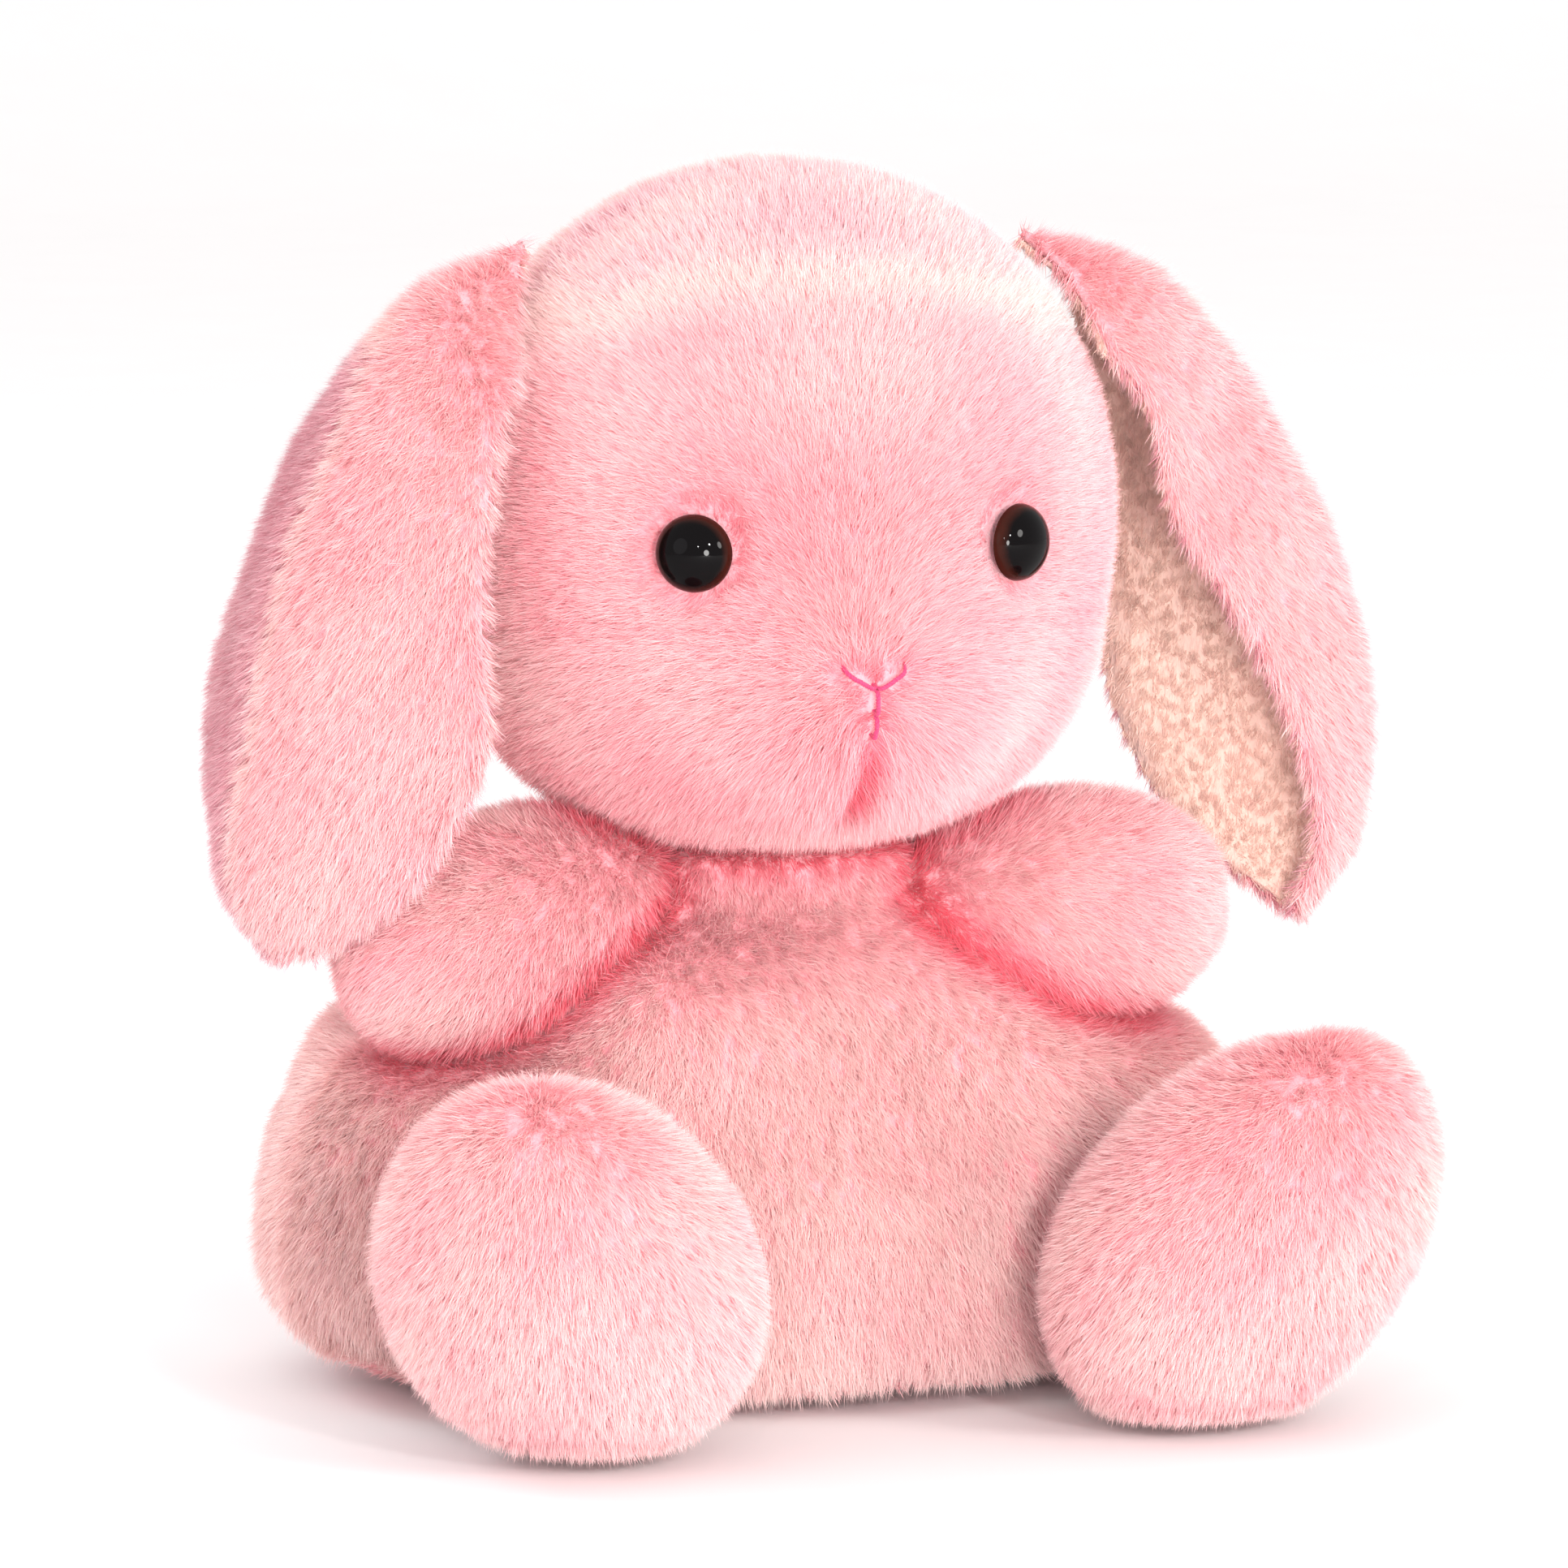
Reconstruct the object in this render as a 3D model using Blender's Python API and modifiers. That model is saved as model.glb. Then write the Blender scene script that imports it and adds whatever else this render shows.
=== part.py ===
"""A sitting stuffed bunny rabbit with hanging ears: pile-fabric panels sewn over stuffing,
a pouch of pellets in the seat, plastic eyes locked by washers, and stitched nose and mouth.
Millimetres below are turned into metres by MM. The toy faces -Y, its own left side is +X,
and the origin is the middle of its flat seat."""

from math import acos, atan2, cos, exp, pi, radians, sin

import bmesh
import bpy
from mathutils import Vector

MM = 0.001

# Driving dimensions
PILE = 2.4 * MM  # thickness of the long-pile fabric, backing and pile together
LINING = 1.1 * MM  # thickness of the short-pile ear lining
SEAM = 0.3 * MM  # gap between two sewn edges
PLAY = 0.3 * MM  # gap between a cover and its filling
SEWN = 0.5 * MM  # gap where a limb is sewn against the torso

HEAD = Vector((0, -3, 92.4)) * MM  # centre of the head
HEAD_HALF = Vector((36.8, 32.7, 36.8)) * MM  # half its width, depth and height
CHEEK_FULLNESS = 2.6  # exponent of the lower half of the head, 2 is a plain ball
MUZZLE_RISE = 2.6 * MM
MUZZLE_WAY = Vector((0, -0.9, -0.43))  # towards the muzzle, from the head's centre
MUZZLE_WIDTH = 0.36  # of its swelling, for a head of radius 1
EAR_SEAM_Y = -8.5 * MM  # the seam over the crown that holds the ears
MUZZLE_SEAM_Z = 81.4 * MM

EYE_AZIMUTH = radians(32.6)
EYE_TURN = radians(30)  # the way an eye looks, from straight ahead
EYE_Z = 90.0 * MM
EYE_BASE = 32.2 * MM  # distance of the eye's flat back from the head's upright axis
EYE_RADIUS = 4.0 * MM
EYE_RISE = 2.6 * MM
SHANK_RADIUS = 1.2 * MM
SHANK_LENGTH = 4.6 * MM
DENT_DEPTH = 0.2 * MM  # room behind the eye's flat back
DENT_REACH = 22.5 * MM
BORE_DEPTH = 9 * MM  # hole in the fabric for the shank
POCKET_DEPTH = 5.5 * MM  # hollow in the stuffing for the washer
POCKET_REACH = 9 * MM
SHARP_ANGLE = radians(35)  # edges of an eye sharper than this stay sharp
WASHER_RADIUS = 4.3 * MM
WASHER_BORE = 1.5 * MM
WASHER_THICK = 0.9 * MM
WASHER_DEPTH = 3.2 * MM  # from the eye's flat back to the washer's middle

NECK = Vector((0, -2, 54.7)) * MM
NECK_RADIUS = 8.4 * MM

SEAT_CENTRE_Y = 1 * MM
SEAT_SEAM_Z = 3 * MM
BELLY_TOP_HALF = 11.5 * MM
BELLY_LOW_HALF = 25 * MM
BELLY_TOP_Z = 60 * MM
BELLY_LOW_Z = -1 * MM
POUCH_TOP_Z = 27 * MM

FOOT_SPREAD = radians(37.5)  # angle of each foot from straight ahead
FOOT_REACH = 60 * MM
FOOT_LEAN = radians(40)
FOOT_LONG = 24 * MM
FOOT_WIDE = 18.2 * MM
FOOT_THICK = 17 * MM
FOOT_NARROWING = 0.1
FOOT_Z = 20.8 * MM
SOLE_SEAM_Z = 4.2 * MM

ARM_LONG = 19.5 * MM
ARM_RADIUS = 10.6 * MM
ARM_NARROWING = -0.13  # below 0, so the paw is the thicker end

TAIL = Vector((0, 43.5, 17)) * MM
TAIL_RADIUS = 10 * MM

THREAD_RADIUS = 0.35 * MM
THREAD_CLEAR = 0.1 * MM

# Cells round and from pole to pole of each kind of form, and what their flat faces need as play
TORSO_CELLS = (26, 15)
HEAD_CELLS = (26, 16)
LIMB_CELLS = (14, 9)
SMALL_CELLS = (14, 8)
FACET = 0.25 * MM
ROD_SEGMENTS = 16
TURN_STEPS = 16
DOME_POINTS = 5
EAR_CELLS = (11, 7)  # down the ear and round its fold
WELD = 0.00002  # metres within which a turned body's points join

# Each row is height, half width, reach to the front and reach to the back, from seat to neck.
TORSO_ROWS = (
    (0, 0.01, 0.01, 0.01),
    (0, 28, 19, 21),
    (0, 40, 25.5, 29),
    (4, 49.5, 31.5, 35),
    (12, 54, 33.5, 37.5),
    (23, 53.5, 32.5, 37),
    (31, 48.5, 29.5, 34),
    (36, 37, 26, 29.5),
    (41, 25, 21.5, 24),
    (47, 18.5, 17.5, 19),
    (52, 14, 13.5, 14.5),
    (54, 7, 7, 7),
    (54, 0.01, 0.01, 0.01),
)
TORSO_SQUARENESS = 2.5

# Rows down each ear: front edge, outer fold and rear edge of each cross-section, X outwards.
# The toy's left ear stands open and shows its lining, and its right ear wraps further forward.
EAR_ROWS = {
    "left": (
        ((32.3, -14.5, 108), (30.2, -9, 115.5), (27, -3, 119.2)),
        ((37.5, -14.5, 101), (42, -12.5, 117), (34, 2, 114.5)),
        ((40, -14, 91), (54, -13, 107), (38.5, 8, 103)),
        ((43.5, -14.5, 80), (66.5, -13, 89), (41, 11.5, 87)),
        ((49.5, -14, 68), (71, -12, 70), (42, 9.5, 69)),
        ((55, -12, 56), (67, -8, 55), (47.5, 4, 56)),
        ((56, -8, 48.5), (57.5, -6, 46.8), (55, -4, 48.5)),
    ),
    "right": (
        ((32.3, -14.5, 108), (30.2, -9, 115.5), (27, -3, 119.2)),
        ((35.5, -22, 103), (43, -15, 116), (35, -2, 114)),
        ((38, -25, 92), (55, -20, 105), (46, 4, 102)),
        ((38.5, -25.5, 81), (63, -22, 88), (54, 8, 86)),
        ((38.5, -26, 69), (66, -19, 71), (59, 6, 69)),
        ((46.5, -19.5, 55), (66, -12, 57), (60, 0, 56)),
        ((55, -10, 47.5), (58, -8, 46.8), (57.5, -5.5, 48)),
    ),
}
EAR_FOLD_WEIGHT = 1.7


# ---------------------------------------------------------------- scene and materials

for old in list(bpy.data.objects):
    bpy.data.objects.remove(old)

toy = bpy.data.collections.new("stuffed_bunny")
cutters = bpy.data.collections.new("cutters")
bpy.context.scene.collection.children.link(toy)
bpy.context.scene.collection.children.link(cutters)


def material(name, colour, roughness):
    """A Principled material of the piece's own colour."""
    made = bpy.data.materials.new(name)
    made.use_nodes = True
    shader = made.node_tree.nodes["Principled BSDF"]
    shader.inputs["Base Color"].default_value = (*colour, 1)
    shader.inputs["Roughness"].default_value = roughness
    shader.inputs["Metallic"].default_value = 0
    return made


PINK = (0.94, 0.50, 0.53)
PEACH = (0.95, 0.62, 0.52)
WADDING = (0.93, 0.92, 0.90)
PELLETS = (0.80, 0.82, 0.85)
BLACK = (0.012, 0.008, 0.007)
WHITE_PLASTIC = (0.75, 0.75, 0.74)
THREAD = (0.72, 0.09, 0.27)
CLOTH_ROUGHNESS = 0.9
THREAD_ROUGHNESS = 0.6
WASHER_ROUGHNESS = 0.45
EYE_ROUGHNESS = 0.05


def add(name, mesh, colour):
    """Puts a mesh in the scene as one named part with its own material."""
    part = bpy.data.objects.new(name, mesh)
    toy.objects.link(part)
    mesh.shade_smooth()
    part.data.materials.append(material(name, colour, CLOTH_ROUGHNESS))
    return part


def add_cutter(name, mesh):
    """Puts a mesh in the scene as a tool that only cuts."""
    tool = bpy.data.objects.new(name, mesh)
    cutters.objects.link(tool)
    tool.hide_render = True
    tool.display_type = "WIRE"
    return tool


# ---------------------------------------------------------------- forms


def to_mesh(name, bm):
    mesh = bpy.data.meshes.new(name)
    bm.to_mesh(mesh)
    bm.free()
    return mesh


def formed_ball(name, place, segments, rings):
    """A closed form: a ball's points, each moved to place(point on the unit ball)."""
    bm = bmesh.new()
    bmesh.ops.create_uvsphere(bm, u_segments=segments, v_segments=rings, radius=1)
    for vertex in bm.verts:
        vertex.co = place(vertex.co)
    bmesh.ops.triangulate(bm, faces=bm.faces)
    bmesh.ops.recalc_face_normals(bm, faces=bm.faces)
    return to_mesh(name, bm)


def offset(place, distance):
    """The same form, moved out along its own surface normal by distance."""
    step = 0.02

    def moved(unit):
        polar = min(max(acos(max(-1, min(1, unit.z))), 2 * step), pi - 2 * step)
        around = atan2(unit.y, unit.x)

        def at(p, a):
            return place(Vector((sin(p) * cos(a), sin(p) * sin(a), cos(p))))

        down = at(polar + step, around) - at(polar - step, around)
        side = at(polar, around + step) - at(polar, around - step)
        return place(unit) + down.cross(side).normalized() * distance

    return moved


def bump(unit, towards, width):
    """1 where the unit direction points along towards, falling off over width."""
    return exp(-((unit - towards).length_squared) / width**2)


def head_place(unit):
    """Ball above, fuller at the cheeks below, with a low muzzle in front."""
    fullness = 2 if unit.z > 0 else CHEEK_FULLNESS
    level = Vector((unit.x, unit.y)).length
    reach = (level**fullness + abs(unit.z) ** fullness) ** (-1 / fullness)
    rise = MUZZLE_RISE * bump(unit, MUZZLE_WAY, MUZZLE_WIDTH)
    ball = Vector(half * part * reach for half, part in zip(HEAD_HALF, unit))
    return HEAD + ball + unit * rise


def catmull_rom(rows, share):
    """The smooth row at share, from 0 at the first row to 1 at the last."""
    last = len(rows) - 1
    at = min(max(share, 0), 1) * last
    first = min(int(at), last - 1)
    t = at - first
    near = [rows[min(max(first + i, 0), last)] for i in (-1, 0, 1, 2)]
    made = []
    for a, b, c, d in zip(*near):
        bend = (2 * a - 5 * b + 4 * c - d) * t + (3 * b - a - 3 * c + d) * t * t
        made.append(b + 0.5 * t * (c - a + bend))
    return made


def torso_place(unit):
    """A pear with wide haunches and a flat seat, as rounded rectangles stacked in height."""
    share = 1 - acos(max(-1, min(1, unit.z))) / pi
    height, half_width, front, back = catmull_rom(TORSO_ROWS, share)
    around = atan2(unit.y, unit.x)
    across, along = cos(around), sin(around)
    square = TORSO_SQUARENESS
    reach = (abs(across) ** square + abs(along) ** square) ** (-1 / square)
    depth = front if along < 0 else back
    spot = Vector((half_width * across * reach, depth * along * reach, max(height, 0))) * MM
    return spot + Vector((0, SEAT_CENTRE_Y, 0))


def egg_place(centre, long_axis, wide_axis, long, wide, thick, narrowing, floor=None):
    """An egg whose +Z end lies along long_axis and is narrower where narrowing is above 0."""
    thick_axis = long_axis.cross(wide_axis)

    def place(unit):
        girth = 1 - narrowing * unit.z
        spot = centre + long_axis * (unit.z * long)
        spot += wide_axis * (unit.x * wide * girth) + thick_axis * (unit.y * thick * girth)
        if floor is not None:
            spot.z = max(spot.z, floor)
        return spot

    return place


# ---------------------------------------------------------------- cutting tools

FAR = 90 * MM


def box_cutter(name, low, high):
    bm = bmesh.new()
    bmesh.ops.create_cube(bm, size=1)
    low, high = Vector(low), Vector(high)
    for vertex in bm.verts:
        share = vertex.co + Vector((0.5, 0.5, 0.5))
        vertex.co = low + Vector(a * b for a, b in zip(share, high - low))
    return add_cutter(name, to_mesh(name, bm))


def belly_cutter(name, extra):
    """The slice of the torso that is the belly panel, wider by extra on each side."""
    bm = bmesh.new()
    bmesh.ops.create_cube(bm, size=1)
    for vertex in bm.verts:
        low = vertex.co.z < 0
        half = (BELLY_LOW_HALF if low else BELLY_TOP_HALF) + extra
        front = vertex.co.y < 0
        vertex.co.x = half if vertex.co.x > 0 else -half
        vertex.co.y = -FAR if front else (-SEAM / 2 if extra == 0 else SEAM)
        vertex.co.z = BELLY_LOW_Z if low else BELLY_TOP_Z
    return add_cutter(name, to_mesh(name, bm))


def rod_cutter(name, start, end, radius):
    """A round rod from start to end."""
    way = end - start
    bm = bmesh.new()
    bmesh.ops.create_cone(
        bm,
        cap_ends=True,
        segments=ROD_SEGMENTS,
        radius1=radius,
        radius2=radius,
        depth=way.length,
    )
    turn = way.to_track_quat("Z", "Y").to_matrix().to_4x4()
    bmesh.ops.transform(bm, matrix=turn, verts=bm.verts)
    bmesh.ops.translate(bm, vec=(start + end) / 2, verts=bm.verts)
    return add_cutter(name, to_mesh(name, bm))


def cut(part, tool, operation="DIFFERENCE"):
    """Cuts part with tool, and leaves the cut live."""
    modifier = part.modifiers.new(f"{operation.lower()} {tool.name}", "BOOLEAN")
    modifier.operation = operation
    modifier.solver = "EXACT"
    modifier.object = tool


def cover(name, mesh, keep, holes, colour=PINK):
    """One panel of a pile cover: the form's skin, thickened inwards and kept inside keep."""
    panel = add(name, mesh.copy(), colour)
    skin = panel.modifiers.new("pile thickness", "SOLIDIFY")
    skin.thickness = PILE
    skin.offset = -1
    skin.use_even_offset = True
    for tool in keep:
        cut(panel, tool, "INTERSECT")
    for tool in holes:
        cut(panel, tool)
    return panel


# ---------------------------------------------------------------- torso

torso_form = formed_ball("torso_form", torso_place, *TORSO_CELLS)
torso_room = add_cutter(
    "torso_room", formed_ball("torso_room", offset(torso_place, SEWN), *TORSO_CELLS)
)
neck_room = add_cutter(
    "neck_room",
    formed_ball("neck_room", lambda unit: NECK + unit * (NECK_RADIUS + PLAY), *SMALL_CELLS),
)

belly_room = belly_cutter("belly_slice", 0)
beside_belly = belly_cutter("beside_belly", SEAM)
seam_top = SEAT_SEAM_Z + SEAM / 2
seam_bottom = SEAT_SEAM_Z - SEAM / 2
above_seat = box_cutter("above_seat", (-FAR, -FAR, seam_top), (FAR, FAR, FAR))
below_seat_seam = box_cutter("below_seat_seam", (-FAR, -FAR, -FAR), (FAR, FAR, seam_bottom))

cover("belly_panel", torso_form, (above_seat, belly_room), (neck_room,))
cover("seat_panel", torso_form, (below_seat_seam,), ())
for side, sign in (("left", 1), ("right", -1)):
    inner, outer = sorted((sign * SEAM / 2, sign * FAR))
    front_side = box_cutter(f"front_{side}", (inner, -FAR, seam_top), (outer, -SEAM / 2, FAR))
    back_side = box_cutter(f"back_{side}", (inner, SEAM / 2, seam_top), (outer, FAR, FAR))
    cover(f"haunch_panel_{side}", torso_form, (front_side,), (beside_belly, neck_room))
    cover(f"back_panel_{side}", torso_form, (back_side,), (neck_room,))

filling_form = formed_ball("filling_form", offset(torso_place, -PILE - PLAY - FACET), *TORSO_CELLS)
pouch_part = box_cutter("pouch_part", (-FAR, -FAR, -FAR), (FAR, FAR, POUCH_TOP_Z))
stuffing_part = box_cutter("stuffing_part", (-FAR, -FAR, POUCH_TOP_Z + PLAY), (FAR, FAR, FAR))
pellet_pouch = add("pellet_pouch", filling_form.copy(), PELLETS)
cut(pellet_pouch, pouch_part, "INTERSECT")
torso_stuffing = add("torso_stuffing", filling_form.copy(), WADDING)
cut(torso_stuffing, stuffing_part, "INTERSECT")
cut(torso_stuffing, neck_room)

neck_form = formed_ball("neck", lambda unit: NECK + unit * NECK_RADIUS, *SMALL_CELLS)
add("neck_stuffing", neck_form, WADDING)


# ---------------------------------------------------------------- head

head_form = formed_ball("head_form", head_place, *HEAD_CELLS)


def eye_line(sign):
    """Where an eye's flat back sits, and the way it looks."""
    out = Vector((sign * sin(EYE_AZIMUTH), -cos(EYE_AZIMUTH), 0))
    look = Vector((sign * sin(EYE_TURN), -cos(EYE_TURN), 0))
    return Vector((HEAD.x, HEAD.y, EYE_Z)) + out * EYE_BASE, look


eye_holes = []
washer_pockets = []
for side, sign in (("left", 1), ("right", -1)):
    seat, look = eye_line(sign)
    dent_start = seat - look * DENT_DEPTH
    dent_end = seat + look * DENT_REACH
    dent = rod_cutter(f"eye_dent_{side}", dent_start, dent_end, EYE_RADIUS + PLAY)
    bore = rod_cutter(f"eye_bore_{side}", seat - look * BORE_DEPTH, seat, WASHER_BORE)
    eye_holes += [dent, bore]
    pocket_start = seat - look * POCKET_DEPTH
    pocket_end = seat + look * POCKET_REACH
    pocket_radius = WASHER_RADIUS + PLAY
    washer_pockets.append(
        rod_cutter(f"washer_pocket_{side}", pocket_start, pocket_end, pocket_radius)
    )

forehead_room = box_cutter(
    "forehead_room", (-FAR, -FAR, MUZZLE_SEAM_Z + SEAM / 2), (FAR, EAR_SEAM_Y - SEAM / 2, 2 * FAR)
)
cover("forehead_panel", head_form, (forehead_room,), eye_holes)
for side, sign in (("left", 1), ("right", -1)):
    inner, outer = sorted((sign * SEAM / 2, sign * FAR))
    cheek_end = (outer, EAR_SEAM_Y - SEAM / 2, MUZZLE_SEAM_Z - SEAM / 2)
    cheek_room = box_cutter(f"cheek_room_{side}", (inner, -FAR, 0), cheek_end)
    nape_start = (inner, EAR_SEAM_Y + SEAM / 2, 0)
    nape_room = box_cutter(f"nape_room_{side}", nape_start, (outer, FAR, 2 * FAR))
    cover(f"cheek_panel_{side}", head_form, (cheek_room,), (neck_room,))
    cover(f"head_back_panel_{side}", head_form, (nape_room,), (neck_room,))

head_inner = formed_ball("head_filling", offset(head_place, -PILE - PLAY - FACET), *HEAD_CELLS)
head_stuffing = add("head_stuffing", head_inner, WADDING)
for tool in (neck_room, *washer_pockets):
    cut(head_stuffing, tool)


def turned(name, profile, centre, axis, ring=False):
    """A body turned about axis through centre: profile holds (radius, height) points, top first."""
    mesh = bpy.data.meshes.new(name)
    points = [(radius, 0, height) for radius, height in profile]
    edges = [(i, i + 1) for i in range(len(points) - 1)]
    if ring:
        edges.append((len(points) - 1, 0))
    mesh.from_pydata(points, edges, [])
    body = bpy.data.objects.new(name, mesh)
    toy.objects.link(body)
    screw = body.modifiers.new("turn", "SCREW")
    screw.steps = TURN_STEPS
    screw.render_steps = TURN_STEPS
    screw.use_merge_vertices = True
    screw.merge_threshold = WELD
    body.location = centre
    body.rotation_euler = axis.to_track_quat("Z", "Y").to_euler()
    return body


for side, sign in (("left", 1), ("right", -1)):
    seat, look = eye_line(sign)
    angles = [pi / 2 * i / DOME_POINTS for i in range(DOME_POINTS + 1)]
    dome = [(EYE_RADIUS * sin(a), EYE_RISE * cos(a)) for a in angles]
    shank = [(SHANK_RADIUS, 0), (SHANK_RADIUS, -SHANK_LENGTH), (0, -SHANK_LENGTH)]
    eye = turned(f"eye_{side}", dome + shank, seat, look)
    eye.data.shade_smooth()
    eye.data.set_sharp_from_angle(angle=SHARP_ANGLE)
    eye.data.materials.append(material(f"eye_{side}", BLACK, EYE_ROUGHNESS))
    low, high = -WASHER_THICK / 2, WASHER_THICK / 2
    ring = [
        (WASHER_BORE, high),
        (WASHER_RADIUS, high),
        (WASHER_RADIUS, low),
        (WASHER_BORE, low),
    ]
    washer = turned(f"eye_washer_{side}", ring, seat - look * WASHER_DEPTH, look, ring=True)
    washer_plastic = material(f"eye_washer_{side}", WHITE_PLASTIC, WASHER_ROUGHNESS)
    washer.data.materials.append(washer_plastic)


def stitch(name, directions):
    """A thread laid just above the pile, through the given directions from the head's centre."""
    curve = bpy.data.curves.new(name, "CURVE")
    curve.dimensions = "3D"
    curve.bevel_depth = THREAD_RADIUS
    curve.bevel_resolution = 2
    curve.use_fill_caps = True
    spline = curve.splines.new("POLY")
    spline.points.add(len(directions) - 1)
    above = offset(head_place, 2 * THREAD_RADIUS + THREAD_CLEAR)
    for point, (across, height) in zip(spline.points, directions):
        unit = Vector((across, -1, height)).normalized()
        point.co = (*above(unit), 1)
    thread = bpy.data.objects.new(name, curve)
    toy.objects.link(thread)
    weld = thread.modifiers.new("weld caps", "WELD")
    weld.merge_threshold = WELD / 2
    curve.materials.append(material(name, THREAD, THREAD_ROUGHNESS))


NOSE_LINE = ((-0.11, -0.353), (-0.055, -0.375), (0, -0.42), (0.055, -0.375), (0.11, -0.353))
MOUTH_LINE = ((0, -0.455), (0, -0.5), (0, -0.54), (0, -0.583))
stitch("nose_stitching", NOSE_LINE)
stitch("mouth_stitching", MOUTH_LINE)


# ---------------------------------------------------------------- ears

def ear_sheet(name, side, sign, lift):
    """An open curved leaf, folded round the side of the head; lift moves it outwards."""
    rows = [[value for point in row for value in point] for row in EAR_ROWS[side]]

    def place(down, across):
        values = [value * MM for value in catmull_rom(rows, down)]
        front, fold, rear = (Vector(values[i : i + 3]) for i in (0, 3, 6))
        a, b, c = (1 - across) ** 2, 2 * EAR_FOLD_WEIGHT * across * (1 - across), across**2
        spot = (front * a + fold * b + rear * c) / (a + b + c)
        return Vector((spot.x * sign, spot.y, spot.z))

    bm = bmesh.new()
    down_cells, across_cells = EAR_CELLS
    bmesh.ops.create_grid(bm, x_segments=down_cells, y_segments=across_cells, size=1)
    for vertex in bm.verts:
        vertex.co = place((vertex.co.x + 1) / 2, (vertex.co.y + 1) / 2)
    bmesh.ops.recalc_face_normals(bm, faces=bm.faces)
    bm.normal_update()
    middle = sum((vertex.co for vertex in bm.verts), Vector()) / len(bm.verts)
    outward = sum(face.normal.dot(face.calc_center_median() - middle) for face in bm.faces)
    if outward < 0:
        bmesh.ops.reverse_faces(bm, faces=bm.faces)
        bm.normal_update()
    for vertex in bm.verts:
        vertex.co += vertex.normal * lift
    return to_mesh(name, bm)


def thicken(part, thickness):
    skin = part.modifiers.new("thickness", "SOLIDIFY")
    skin.thickness = thickness
    skin.offset = 1
    skin.use_even_offset = True


for side, sign in (("left", 1), ("right", -1)):
    outer_leaf = ear_sheet(f"ear_outer_{side}", side, sign, SEAM / 2)
    thicken(add(f"ear_outer_{side}", outer_leaf, PINK), PILE)
    lining_leaf = ear_sheet(f"ear_lining_{side}", side, sign, -SEAM / 2 - LINING)
    thicken(add(f"ear_lining_{side}", lining_leaf, PEACH), LINING)


# ---------------------------------------------------------------- arms and feet


def limb(name, place, panels):
    """A sewn limb: pile panels, each a name and its room, and the stuffing in them.
    It is open where it meets the torso."""
    form = formed_ball(name, place, *LIMB_CELLS)
    for panel_name, room in panels:
        cover(panel_name, form, (room,), (torso_room,))
    inner = formed_ball(f"{name}_filling", offset(place, -PILE - PLAY - FACET), *LIMB_CELLS)
    filling = add(f"{name}_stuffing", inner, WADDING)
    cut(filling, torso_room)


ARM_POSES = {
    "left": (Vector((28, -8, 48.6)) * MM, Vector((0.99, -0.12, 0.03))),
    "right": (Vector((-29.5, -8.5, 46)) * MM, Vector((-0.95, -0.2, -0.23))),
}
for side, (centre, way) in ARM_POSES.items():
    way = way.normalized()
    across = way.cross(Vector((0, 0, 1))).normalized()
    place = egg_place(centre, way, across, ARM_LONG, ARM_RADIUS, ARM_RADIUS, ARM_NARROWING)
    front_end = (FAR, centre.y - SEAM / 2, FAR)
    front_room = box_cutter(f"arm_front_{side}", (-FAR, -FAR, 0), front_end)
    rear_start = (-FAR, centre.y + SEAM / 2, 0)
    rear_room = box_cutter(f"arm_rear_{side}", rear_start, (FAR, FAR, FAR))
    front = (f"arm_front_panel_{side}", front_room)
    rear = (f"arm_rear_panel_{side}", rear_room)
    limb(f"arm_{side}", place, (front, rear))

top_start = (-FAR, -FAR, SOLE_SEAM_Z + SEAM / 2)
foot_top_room = box_cutter("foot_top_room", top_start, (FAR, FAR, FAR))
sole_end = (FAR, FAR, SOLE_SEAM_Z - SEAM / 2)
foot_sole_room = box_cutter("foot_sole_room", (-FAR, -FAR, -FAR), sole_end)
for side, sign in (("left", 1), ("right", -1)):
    ahead = Vector((sign * sin(FOOT_SPREAD), -cos(FOOT_SPREAD), 0))
    centre = ahead * FOOT_REACH + Vector((0, 0, FOOT_Z))
    toe_way = ahead * sin(FOOT_LEAN) + Vector((0, 0, cos(FOOT_LEAN)))
    across = ahead.cross(Vector((0, 0, 1)))
    sizes = (FOOT_LONG, FOOT_WIDE, FOOT_THICK, FOOT_NARROWING)
    place = egg_place(centre, toe_way, across, *sizes, floor=0)
    top = (f"foot_top_panel_{side}", foot_top_room)
    sole = (f"foot_sole_panel_{side}", foot_sole_room)
    limb(f"foot_{side}", place, (top, sole))


# ---------------------------------------------------------------- tail

tail_form = formed_ball("tail_form", lambda unit: TAIL + unit * TAIL_RADIUS, *SMALL_CELLS)
tail_place = box_cutter("tail_place", (-FAR, 0, -FAR), (FAR, FAR, FAR))
cover("tail_cover", tail_form, (tail_place,), (torso_room,))
TAIL_FILLING_RADIUS = TAIL_RADIUS - PILE - PLAY
tail_inner = formed_ball(
    "tail_filling", lambda unit: TAIL + unit * TAIL_FILLING_RADIUS, *SMALL_CELLS
)
tail_stuffing = add("tail_stuffing", tail_inner, WADDING)
cut(tail_stuffing, torso_room)
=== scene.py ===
"""How a sitting stuffed bunny looks: a long-pile pink plush toy with hanging lined ears,
plastic eyes and a stitched nose and mouth. The toy faces -Y and its own left side is +X."""

from math import acos, atan2, cos, exp, pi, radians, sin

import bmesh
import bpy
import numpy as np
from mathutils import Matrix, Vector, noise
from mathutils.bvhtree import BVHTree


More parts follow.
